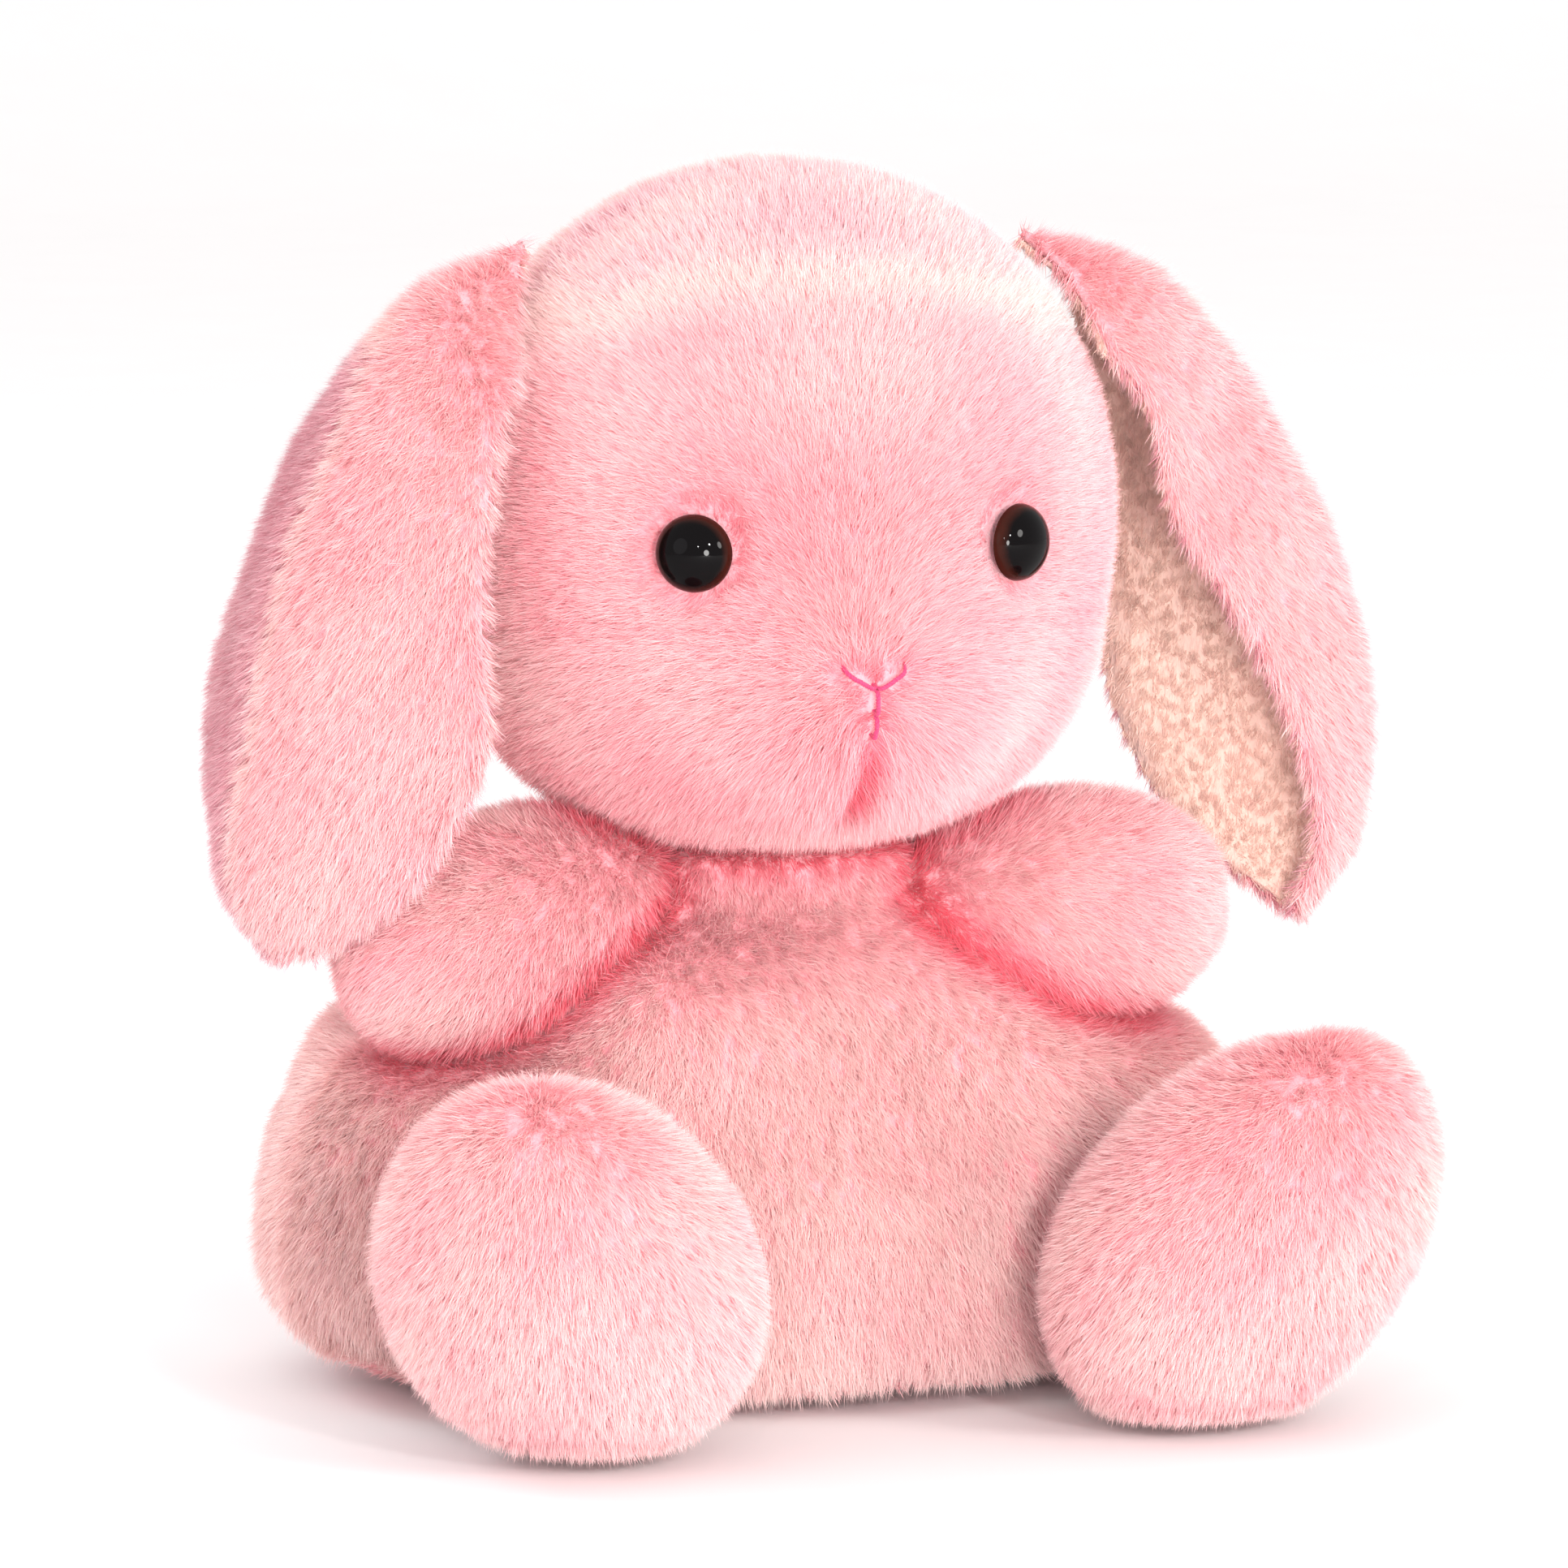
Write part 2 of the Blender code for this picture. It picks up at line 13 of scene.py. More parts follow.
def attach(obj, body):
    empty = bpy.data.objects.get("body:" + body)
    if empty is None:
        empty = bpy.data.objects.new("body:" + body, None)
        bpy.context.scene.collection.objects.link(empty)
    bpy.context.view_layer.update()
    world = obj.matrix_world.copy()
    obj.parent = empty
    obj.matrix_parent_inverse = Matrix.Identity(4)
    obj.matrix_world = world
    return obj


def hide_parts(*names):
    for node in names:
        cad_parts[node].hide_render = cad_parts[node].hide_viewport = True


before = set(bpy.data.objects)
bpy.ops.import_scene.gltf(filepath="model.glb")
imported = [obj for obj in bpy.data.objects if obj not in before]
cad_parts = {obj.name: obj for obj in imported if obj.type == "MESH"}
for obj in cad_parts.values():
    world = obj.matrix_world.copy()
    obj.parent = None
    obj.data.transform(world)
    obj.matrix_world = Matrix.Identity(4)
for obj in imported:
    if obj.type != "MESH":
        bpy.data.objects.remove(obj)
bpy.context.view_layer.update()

MM = 0.001


# ---------------------------------------------------------------- wadding and pellets
# Polyester wadding fills the head, neck, limbs, tail and upper torso, and a cloth pouch of
# plastic pellets weighs the seat down. Both are pushed in through a gap left in the covers.


class Value:
    """A shader socket that takes part in Python arithmetic through Math nodes."""

    def __init__(self, finish, socket):
        self.finish = finish
        self.socket = socket

    def _math(self, operation, first, second):
        settings = {"operation": operation}
        return self.finish.node("ShaderNodeMath", settings, {0: first, 1: second})

    def __add__(self, other):
        return self._math("ADD", self, other)

    def __sub__(self, other):
        return self._math("SUBTRACT", self, other)

    def __rsub__(self, other):
        return self._math("SUBTRACT", other, self)

    def __mul__(self, other):
        return self._math("MULTIPLY", self, other)

    def __truediv__(self, other):
        return self._math("DIVIDE", self, other)

    def __pow__(self, other):
        return self._math("POWER", self, other)

    __radd__ = __add__
    __rmul__ = __mul__


class Finish:
    """A procedural material under construction, round one Principled shader."""

    def __init__(self, name, **constants):
        self.material = bpy.data.materials.new(name)
        self.material.use_nodes = True
        self.tree = self.material.node_tree
        self.shader = self.tree.nodes["Principled BSDF"]
        for socket, value in constants.items():
            self.shader.inputs[socket.replace("_", " ")].default_value = value

    def node(self, kind, settings, inputs, output=0):
        """Adds any node: its settings first, then the values or links of its sockets."""
        made = self.tree.nodes.new(kind)
        for setting, value in settings.items():
            if setting == "stops":
                ramp = made.color_ramp.elements
                while len(ramp) < len(value):
                    ramp.new(0.5)
                for element, (position, colour) in zip(ramp, value):
                    element.position = position
                    element.color = colour
            else:
                setattr(made, setting, value)
        for key, value in inputs.items():
            if isinstance(value, Value):
                self.tree.links.new(value.socket, made.inputs[key])
            else:
                made.inputs[key].default_value = value
        return Value(self, made.outputs[output])

    def feed(self, socket, value):
        self.tree.links.new(value.socket, self.shader.inputs[socket])

    def place(self):
        return self.node("ShaderNodeTexCoord", {}, {}, "Object")

    def grain(self, scale, detail=2.0, rough=0.5, stretch=(1, 1, 1)):
        """Noise of scale cells to the metre over the piece's own place."""
        spot = self.node("ShaderNodeMapping", {}, {"Vector": self.place(), "Scale": stretch})
        inputs = {"Vector": spot, "Scale": scale, "Detail": detail, "Roughness": rough}
        return self.node("ShaderNodeTexNoise", {}, inputs)

    def blend(self, factor, first, second, way="MIX"):
        settings = {"data_type": "RGBA", "blend_type": way}
        return self.node("ShaderNodeMix", settings, {0: factor, 6: first, 7: second}, 2)

    def ramp(self, factor, stops):
        return self.node("ShaderNodeValToRGB", {"stops": stops}, {0: factor})

    def bumps(self, height, depth):
        inputs = {"Height": height, "Distance": depth, "Strength": 1.0}
        self.feed("Normal", self.node("ShaderNodeBump", {}, inputs))


def dye(red, green, blue):
    """A colour given as it looks on a chart, 0 to 255, in the light values that shaders use."""
    shares = [part / 255 for part in (red, green, blue)]
    light = [s / 12.92 if s <= 0.04045 else ((s + 0.055) / 1.055) ** 2.4 for s in shares]
    return (*light, 1)


WADDING_LIGHT = dye(247, 245, 242)
WADDING_SHADE = dye(214, 211, 208)
POUCH_CLOTH = dye(226, 224, 219)
POUCH_DIP_SHADE = dye(190, 188, 186)

wadding = Finish("wadding", Roughness=0.95, Sheen_Weight=0.4)
fibres = wadding.grain(420, 6, 0.7, (1, 1, 2.6))
clouds = wadding.grain(90, 3)
wadding.feed("Base Color", wadding.blend(clouds * 0.6 + fibres * 0.4, WADDING_SHADE, WADDING_LIGHT))
wadding.bumps(fibres * 0.6 + clouds, 1.2 * MM)

pouch_cloth = Finish("pouch_cloth", Roughness=0.85)
pellet_cells = pouch_cloth.node(
    "ShaderNodeTexVoronoi", {"feature": "SMOOTH_F1"}, {"Vector": pouch_cloth.place(), "Scale": 330.0}
)
weave = pouch_cloth.node(
    "ShaderNodeTexWave", {"wave_type": "BANDS"}, {"Vector": pouch_cloth.place(), "Scale": 900.0}
)
# Painted shade: the pouch cloth is darker in the dips between the pellets.
pouch_cloth.feed("Base Color", pouch_cloth.blend(pellet_cells, POUCH_CLOTH, POUCH_DIP_SHADE))
pouch_cloth.bumps((1 - pellet_cells) * 1.0 + weave * 0.08, 1.0 * MM)

for node_name in (
    "torso_stuffing",
    "neck_stuffing",
    "head_stuffing",
    "arm_left_stuffing",
    "arm_right_stuffing",
    "foot_left_stuffing",
    "foot_right_stuffing",
    "tail_stuffing",
):
    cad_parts[node_name].material_slots[0].material = wadding.material
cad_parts["pellet_pouch"].material_slots[0].material = pouch_cloth.material


# ---------------------------------------------------------------- the covers' backing
# Every part of the body is a bag of pile fabric, sewn from panels, turned right side out and
# stuffed. Here each bag is its knitted backing; the pile that stands on it comes after it.

PILE_ROOM = 2.1 * MM  # from the backing to the outer face of the pile

HEAD = Vector((0, -3, 92.4)) * MM
HEAD_HALF = Vector((36.8, 32.7, 36.8)) * MM
CHEEK_FULLNESS = 2.6
MUZZLE_RISE = 2.6 * MM
MUZZLE_WAY = Vector((0, -0.9, -0.43))
MUZZLE_WIDTH = 0.36
EYE_AZIMUTH = radians(32.6)
EYE_TURN = radians(30)
EYE_Z = 90.0 * MM
EYE_BASE = 32.2 * MM
EYE_RADIUS = 4.0 * MM

# Each row is height, half width, reach to the front and reach to the back, from seat to neck.
TORSO_ROWS = (
    (0, 0.01, 0.01, 0.01),
    (0, 28, 19, 21),
    (0, 40, 25.5, 29),
    (4, 49.5, 31.5, 35),
    (12, 54, 33.5, 37.5),
    (23, 53.5, 32.5, 37),
    (31, 51, 29.5, 34),
    (37, 47, 27, 30),
    (42, 37, 24, 26),
    (47, 25, 20.5, 21),
    (52, 18.5, 16.5, 17),
    (58, 14.5, 13.5, 14.5),
    (60, 0.01, 0.01, 0.01),
)
TORSO_SQUARENESS = 2.5
HAUNCH_SHIFT = 9 * MM  # how far behind the arms the tops of the haunches lie

FOOT_SPREAD = radians(37.5)
FOOT_REACH = 60 * MM
FOOT_LEAN = radians(40)
FOOT_SIZES = {"left": (26 * MM, 21 * MM, 17.4 * MM), "right": (24.5 * MM, 20.4 * MM, 17 * MM)}
FOOT_NARROWING = 0.1
FOOT_Z = 20.8 * MM

ARM_SIZE = (20.5 * MM, 12.8 * MM, 13.4 * MM)
ARM_NARROWING = -0.13
ARM_POSES = {
    "left": (Vector((28, -8, 49)) * MM, Vector((0.99, -0.12, 0.03))),
    "right": (Vector((-30.5, -8, 49.5)) * MM, Vector((-0.95, -0.16, -0.30))),
}

TAIL = Vector((0, 43.5, 17)) * MM
TAIL_RADIUS = 10 * MM

# Rows down each ear: front edge, outer fold and rear edge of each cross-section, X outwards.
EAR_ROWS = {
    "left": (
        ((32.3, -14.5, 108), (30.2, -9, 115.5), (27, -3, 119.2)),
        ((37.5, -14.5, 101), (42, -12.5, 117), (34, 2, 114.5)),
        ((40, -14, 91), (54, -13, 107), (38.5, 8, 103)),
        ((47, -14.5, 80), (66, -13, 89), (41, 11.5, 87)),
        ((53.5, -14, 68), (70, -12, 70), (42, 9.5, 69)),
        ((57, -12, 56), (66, -8, 55), (47.5, 4, 56)),
        ((56, -8, 48.5), (57.5, -6, 46.8), (55, -4, 48.5)),
    ),
    "right": (
        ((32.3, -14.5, 108), (30.2, -9, 115.5), (27, -3, 119.2)),
        ((35.5, -22, 103), (43, -15, 116), (35, -2, 114)),
        ((38, -25, 92), (53, -20, 105), (45, 4, 102)),
        ((38.5, -25.5, 81), (59.5, -22, 88), (52, 8, 86)),
        ((38.5, -26, 69), (62, -19, 71), (57, 6, 69)),
        ((45.5, -19.5, 55), (62.5, -12, 57), (57, 0, 56)),
        ((52, -10, 48.5), (55.5, -8, 47.8), (55, -5.5, 49)),
    ),
}
EAR_FOLD_WEIGHT = 1.7
EAR_BACKING = 0.8 * MM
EAR_LINING = 0.6 * MM


def catmull_rom(rows, share):
    """The smooth row at share, from 0 at the first row to 1 at the last."""
    last = len(rows) - 1
    at = min(max(share, 0), 1) * last
    first = min(int(at), last - 1)
    t = at - first
    near = [rows[min(max(first + i, 0), last)] for i in (-1, 0, 1, 2)]
    made = []
    for a, b, c, d in zip(*near):
        bend = (2 * a - 5 * b + 4 * c - d) * t + (3 * b - a - 3 * c + d) * t * t
        made.append(b + 0.5 * t * (c - a + bend))
    return made


def swell(spot, centre, width):
    """1 at centre, falling off smoothly over width."""
    return exp(-(spot - centre).length_squared / width**2)


def head_place(unit):
    """Ball above, fuller at the cheeks below, with a low muzzle in front."""
    fullness = 2 if unit.z > 0 else CHEEK_FULLNESS
    level = Vector((unit.x, unit.y)).length
    reach = (level**fullness + abs(unit.z) ** fullness) ** (-1 / fullness)
    rise = MUZZLE_RISE * swell(unit, MUZZLE_WAY, MUZZLE_WIDTH)
    ball = Vector(half * part * reach for half, part in zip(HEAD_HALF, unit))
    return HEAD + ball + unit * rise


def torso_place(unit):
    """A pear with wide haunches and a flat seat, as rounded rectangles stacked in height."""
    share = 1 - acos(max(-1, min(1, unit.z))) / pi
    height, half_width, front, back = catmull_rom(TORSO_ROWS, share)
    around = atan2(unit.y, unit.x)
    across, along = cos(around), sin(around)
    square = TORSO_SQUARENESS
    reach = (abs(across) ** square + abs(along) ** square) ** (-1 / square)
    depth = front if along < 0 else back
    spot = Vector((half_width * across * reach, depth * along * reach, max(height, 0))) * MM
    beside_arm = min(max((abs(spot.x) - 22 * MM) / (12 * MM), 0), 1)
    behind = HAUNCH_SHIFT * beside_arm * exp(-(((height - 43) / 6) ** 2))
    return spot + Vector((0, 1 * MM + behind, 0))


def egg_place(centre, long_axis, wide_axis, long, wide, thick, narrowing):
    """An egg whose +Z end lies along long_axis and is narrower where narrowing is above 0."""
    thick_axis = long_axis.cross(wide_axis)

    def place(unit):
        girth = 1 - narrowing * unit.z
        spot = centre + long_axis * (unit.z * long)
        spot += wide_axis * (unit.x * wide * girth) + thick_axis * (unit.y * thick * girth)
        spot.z = max(spot.z, 0)
        return spot

    return place


def eye_line(sign):
    """Where an eye's flat back sits, and the way it looks."""
    out = Vector((sign * sin(EYE_AZIMUTH), -cos(EYE_AZIMUTH), 0))
    look = Vector((sign * sin(EYE_TURN), -cos(EYE_TURN), 0))
    return Vector((HEAD.x, HEAD.y, EYE_Z)) + out * EYE_BASE, look


def head_dents(spot):
    """How far the backing is drawn in: at the eyes, the mouth line and the muzzle seam."""
    drawn = 0.0
    for sign in (1, -1):
        seat, look = eye_line(sign)
        drawn += 1.3 * swell(spot, seat + look * 2 * MM, 6.5 * MM)
        puff = Vector((sign * 9, -33, 68)) * MM
        drawn -= 2.8 * swell(spot, puff, 10 * MM)
    if spot.y < -20 * MM:
        mouth = exp(-((spot.x / (1.6 * MM)) ** 2)) * exp(-(((spot.z - 66 * MM) / (4.5 * MM)) ** 2))
        seam = exp(-(((spot.z - 81.6 * MM) / (1.5 * MM)) ** 2)) * min(abs(spot.x) / (8 * MM), 1)
        drawn += 1.0 * mouth + 0.25 * seam
    return drawn * MM


def torso_dents(spot):
    """The thighs swell towards the feet, and the belly is drawn in beside and between them."""
    drawn = 0.0
    for sign in (1, -1):
        thigh = Vector((sign * 34, -26, 26)) * MM
        groin = Vector((sign * 17, -33, 12)) * MM
        drawn += 1.2 * swell(spot, groin, 8 * MM) - 1.8 * swell(spot, thigh, 13 * MM)
    chest = Vector((0, -18, 44)) * MM
    belly = Vector((0, -33, 18)) * MM
    slump = Vector((-17, -21, 41)) * MM  # the belly sags in front of the right arm
    drawn -= 1.6 * swell(spot, chest, 9 * MM) + 1.2 * swell(spot, belly, 12 * MM)
    drawn -= 3.4 * swell(spot, slump, 10 * MM)
    return drawn * MM


def settled(name, bm, inset, dents, lumps):
    """Draws a form in by the room its pile needs, adds dents and the lumps of stuffing, and
    keeps it clear of the table."""
    bmesh.ops.recalc_face_normals(bm, faces=bm.faces)
    bm.normal_update()
    moves = []
    for vertex in bm.verts:
        lump = noise.noise(vertex.co / (11 * MM)) * lumps
        moves.append(vertex.normal * (lump - inset - (dents(vertex.co) if dents else 0)))
    for vertex, move in zip(bm.verts, moves):
        vertex.co += move
        vertex.co.z = max(vertex.co.z, 0.7 * MM)
    for face in bm.faces:
        face.smooth = True
    mesh = bpy.data.meshes.new(name)
    bm.to_mesh(mesh)
    bm.free()
    piece = bpy.data.objects.new(name, mesh)
    bpy.context.scene.collection.objects.link(piece)
    return piece


def bag(name, place, cells, dents=None, inset=PILE_ROOM):
    """A closed bag of backing cloth: a ball whose points go where place says."""
    bm = bmesh.new()
    bmesh.ops.create_uvsphere(bm, u_segments=cells[0], v_segments=cells[1], radius=1)
    for vertex in bm.verts:
        vertex.co = place(vertex.co)
    return settled(name, bm, inset, dents, 0.35 * MM)


def ear_leaf(name, side, sign, low, high):
    """One closed leaf of an ear, between two distances from its middle surface."""
    rows = [[value for point in row for value in point] for row in EAR_ROWS[side]]

    def place(down, across):
        values = [value * MM for value in catmull_rom(rows, down)]
        front, fold, rear = (Vector(values[i : i + 3]) for i in (0, 3, 6))
        a, b, c = (1 - across) ** 2, 2 * EAR_FOLD_WEIGHT * across * (1 - across), across**2
        spot = (front * a + fold * b + rear * c) / (a + b + c)
        return Vector((spot.x * sign, spot.y, spot.z))

    bm = bmesh.new()
    bmesh.ops.create_grid(bm, x_segments=44, y_segments=30, size=1)
    for vertex in bm.verts:
        vertex.co = place((vertex.co.x + 1) / 2, (vertex.co.y + 1) / 2)
    bmesh.ops.recalc_face_normals(bm, faces=bm.faces)
    bm.normal_update()
    middle = sum((vertex.co for vertex in bm.verts), Vector()) / len(bm.verts)
    outward = sum(face.normal.dot(face.calc_center_median() - middle) for face in bm.faces)
    if outward < 0:
        bmesh.ops.reverse_faces(bm, faces=bm.faces)
        bm.normal_update()
    for vertex in bm.verts:
        ripple = noise.noise(vertex.co / (9 * MM)) * 0.5 * MM
        vertex.co += vertex.normal * (low + ripple)
    bmesh.ops.solidify(bm, geom=bm.faces, thickness=-(high - low))
    return settled(name, bm, 0, None, 0)


torso_cover = bag("torso_cover", torso_place, (112, 84), torso_dents)
head_cover = bag("head_cover", head_place, (112, 80), head_dents)
tail_cover = bag("tail_bag", lambda unit: TAIL + unit * TAIL_RADIUS, (40, 28))

covers = {"torso": torso_cover, "head": head_cover, "tail": tail_cover}
foot_ahead = {}
arm_ways = {}
for side, sign in (("left", 1), ("right", -1)):
    ahead = Vector((sign * sin(FOOT_SPREAD), -cos(FOOT_SPREAD), 0))
    toe_way = ahead * sin(FOOT_LEAN) + Vector((0, 0, cos(FOOT_LEAN)))
    heel = ahead * FOOT_REACH + Vector((0, 0, FOOT_Z))
    level = ahead.cross(Vector((0, 0, 1)))
    foot = egg_place(heel, toe_way, level, *FOOT_SIZES[side], FOOT_NARROWING)
    covers[f"foot_{side}"] = bag(f"foot_cover_{side}", foot, (64, 44))
    foot_ahead[side] = (ahead, toe_way, heel)

    centre, way = ARM_POSES[side]
    way = way.normalized()
    arm = egg_place(centre, way, way.cross(Vector((0, 0, 1))).normalized(), *ARM_SIZE, ARM_NARROWING)
    covers[f"arm_{side}"] = bag(f"arm_cover_{side}", arm, (56, 40))
    arm_ways[side] = (centre, way)

    covers[f"ear_{side}"] = ear_leaf(f"ear_cover_{side}", side, sign, 0.1 * MM, 0.1 * MM + EAR_BACKING)
    covers[f"lining_{side}"] = ear_leaf(
        f"ear_lining_cover_{side}", side, sign, -0.1 * MM - EAR_LINING, -0.1 * MM
    )

BACKING_DEEP = dye(246, 150, 164)
BACKING_LIGHT = dye(254, 196, 202)
backing = Finish("pile_backing", Roughness=0.95, Sheen_Weight=0.5)
knit = backing.grain(1600, 4, 0.6)
patches = backing.grain(60, 2)
backing.feed("Base Color", backing.blend(knit * 0.5 + patches * 0.5, BACKING_DEEP, BACKING_LIGHT))
backing.bumps(knit, 0.5 * MM)

LINING_DEEP = dye(255, 212, 198)
LINING_LIGHT = dye(255, 234, 220)
lining_cloth = Finish("lining_cloth", Roughness=0.9, Sheen_Weight=0.6)
velvet = lining_cloth.grain(1100, 4, 0.6, (1, 1, 0.4))
lining_patches = lining_cloth.grain(70, 2)
lining_cloth.feed(
    "Base Color", lining_cloth.blend(velvet * 0.5 + lining_patches * 0.5, LINING_DEEP, LINING_LIGHT)
)
lining_cloth.bumps(velvet, 0.4 * MM)

COVER_FACTS = {
    "torso": (0.75, "torso", ("belly_panel", "seat_panel", "haunch_panel_left", "haunch_panel_right",
                              "back_panel_left", "back_panel_right")),
    "head": (0.9, "head", ("forehead_panel", "cheek_panel_left", "cheek_panel_right",
                           "head_back_panel_left", "head_back_panel_right")),
    "tail": (0.7, "torso", ("tail_cover",)),
}
for side in ("left", "right"):
    COVER_FACTS[f"foot_{side}"] = (0.85, f"foot_{side}", (f"foot_top_panel_{side}", f"foot_sole_panel_{side}"))
    COVER_FACTS[f"arm_{side}"] = (0.8, f"arm_{side}", (f"arm_front_panel_{side}", f"arm_rear_panel_{side}"))
    COVER_FACTS[f"ear_{side}"] = (0.1, f"ear_{side}", (f"ear_outer_{side}",))
    COVER_FACTS[f"lining_{side}"] = (0.1, f"ear_{side}", (f"ear_lining_{side}",))
for name, (fill, body, panels) in COVER_FACTS.items():
    lined = name.startswith("lining")
    covers[name].data.materials.append(lining_cloth.material if lined else backing.material)
    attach(covers[name], body)
    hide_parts(*panels)


# ---------------------------------------------------------------- pile
# The fabric's pile is fine polyester fibre, about 3 mm long, that stands in small tufts and
# is combed one way on each panel. It is dyed pink; each strand is painted deeper towards the
# root, as the shade deep in the pile, and paler at the tip, as a highlight on the tips.

STRANDS = 20  # in a tuft
TUFT_RADIUS = 0.8 * MM
STRAND_WIDTH = 0.105 * MM

# Its deep pink end is used for the shade painted into creases, and its cool mauve end for the shade painted on
# the crown and on the far side of the ears.
PALETTE = (
    (0.0, dye(255, 104, 126)),
    (0.2, dye(255, 162, 175)),
    (0.4, dye(255, 198, 202)),
    (0.58, dye(255, 216, 213)),
    (0.7, dye(255, 221, 215)),
    (0.8, dye(246, 203, 208)),
    (0.9, dye(235, 182, 190)),
    (1.0, dye(224, 148, 164)),
)
# Painted light along the strands: a deeper pink at the root for the shade deep in the pile, and a near white
# at the tip for the highlight on the tips.
ROOT_PAINTED_SHADE = dye(255, 150, 166)
TIP_PAINTED_HIGHLIGHT = dye(255, 244, 240)

pile_dye = Finish("pile_fibre", Roughness=0.62, Sheen_Weight=0.12, Sheen_Roughness=0.4)
spread = pile_dye.node("ShaderNodeUVMap", {"uv_map": "OFBake"}, {})
tone = pile_dye.node("ShaderNodeSeparateXYZ", {}, {0: spread}, 0)
along = pile_dye.node("ShaderNodeSeparateXYZ", {}, {0: spread}, 1)
tuft_colour = pile_dye.ramp(tone, PALETTE)
# How much of the painted root shade and the painted tip highlight each point of a strand takes.
root_shade_share = pile_dye.node("ShaderNodeMapRange", {"interpolation_type": "SMOOTHSTEP"},
                       {"Value": along, "From Min": -0.2, "From Max": 0.65, "To Min": 0.4, "To Max": 0.0})
tip_highlight_share = pile_dye.node("ShaderNodeMapRange", {"interpolation_type": "SMOOTHSTEP"},
                       {"Value": along, "From Min": 0.55, "From Max": 1.0, "To Min": 0.0, "To Max": 0.3})
body_colour = pile_dye.blend(root_shade_share, tuft_colour, ROOT_PAINTED_SHADE)
pile_dye.feed("Base Color", pile_dye.blend(tip_highlight_share, body_colour, TIP_PAINTED_HIGHLIGHT))

lining_dye = Finish("lining_fibre", Roughness=0.7, Sheen_Weight=0.15, Sheen_Roughness=0.4)
lining_spread = lining_dye.node("ShaderNodeUVMap", {"uv_map": "OFBake"}, {})
lining_tone = lining_dye.node("ShaderNodeSeparateXYZ", {}, {0: lining_spread}, 0)
lining_along = lining_dye.node("ShaderNodeSeparateXYZ", {}, {0: lining_spread}, 1)
LINING_PALETTE = (
    (0.0, dye(255, 198, 192)),
    (0.35, dye(255, 217, 206)),
    (0.7, dye(255, 229, 216)),
    (1.0, dye(255, 238, 226)),
)
lining_colour = lining_dye.ramp(lining_tone, LINING_PALETTE)
# Painted shade: the lining's strands are painted a deeper peach towards the root, for the shade deep in the
# short pile.
lining_dye.feed(
    "Base Color", lining_dye.blend((1 - lining_along) * 0.12, lining_colour, dye(255, 190, 178))
)

trees = {}
for name, piece in covers.items():
    mesh = piece.data
    points = [vertex.co for vertex in mesh.vertices]
    trees[name] = BVHTree.FromPolygons(points, [polygon.vertices for polygon in mesh.polygons])


def unit_rows(rows):
    return rows / np.maximum(np.linalg.norm(rows, axis=1, keepdims=True), 1e-12)


def near_share(distance, width):
    return np.exp(-((distance / width) ** 2))


def smooth_step(low, high, value):
    share = np.clip((value - low) / (high - low), 0, 1)
    return share * share * (3 - 2 * share)


def patchy(points, size, seed):
    """Soft patches from -1 to 1, about size across."""
    chance = np.random.default_rng(seed)
    total = np.zeros(len(points))
    for _ in range(5):
        way = chance.normal(size=3)
        way /= np.linalg.norm(way)
        total += np.sin(points @ way * (2 * pi / size) * chance.uniform(0.7, 1.5) + chance.uniform(0, 2 * pi))
    return total / 5 * 1.4


def scatter(name, per_mm2, seed, beside=(), clearance=0.4 * MM):
    """Tuft places spread over a cover: points, normals and how deep in a crease each is.
    Places inside the covers named in beside are left out."""
    mesh = covers[name].data
    mesh.calc_loop_triangles()
    corner = np.empty(len(mesh.loop_triangles) * 3, np.int32)
    mesh.loop_triangles.foreach_get("vertices", corner)
    corner = corner.reshape(-1, 3)
    place = np.empty(len(mesh.vertices) * 3)
    mesh.vertices.foreach_get("co", place)
    place = place.reshape(-1, 3)
    normal = np.empty(len(mesh.vertices) * 3)
    mesh.vertex_normals.foreach_get("vector", normal)
    normal = normal.reshape(-1, 3)
    a, b, c = (place[corner[:, i]] for i in range(3))
    area = np.linalg.norm(np.cross(b - a, c - a), axis=1) / 2
    count = int(area.sum() / MM**2 * per_mm2 / STRANDS)
    chance = np.random.default_rng(seed)
    total = np.cumsum(area)
    picks = (np.arange(count) + chance.random(count)) / count * total[-1]
    triangle = np.minimum(np.searchsorted(total, picks), len(area) - 1)
    u, v = chance.random(count), chance.random(count)
    over = u + v > 1
    u[over], v[over] = 1 - u[over], 1 - v[over]
    shares = np.stack([1 - u - v, u, v], axis=1)[:, :, None]
    points = (place[corner[triangle]] * shares).sum(axis=1)
    normals = unit_rows((normal[corner[triangle]] * shares).sum(axis=1))
    crease = np.zeros(count)
    kept = np.ones(count, bool)
    reach = 14 * MM
    for other in beside:
        tree = trees[other]
        for i, (point, away) in enumerate(zip(points, normals)):
            spot = Vector(point + away * 0.6 * MM)
            near, facing, _, distance = tree.find_nearest(spot, reach)
            if near is None:
                continue
            if (spot - near).dot(facing) < 0 or distance < clearance:
                kept[i] = False
            else:
                crease[i] = max(crease[i], exp(-distance / (5 * MM)))
    return points[kept], normals[kept], crease[kept]


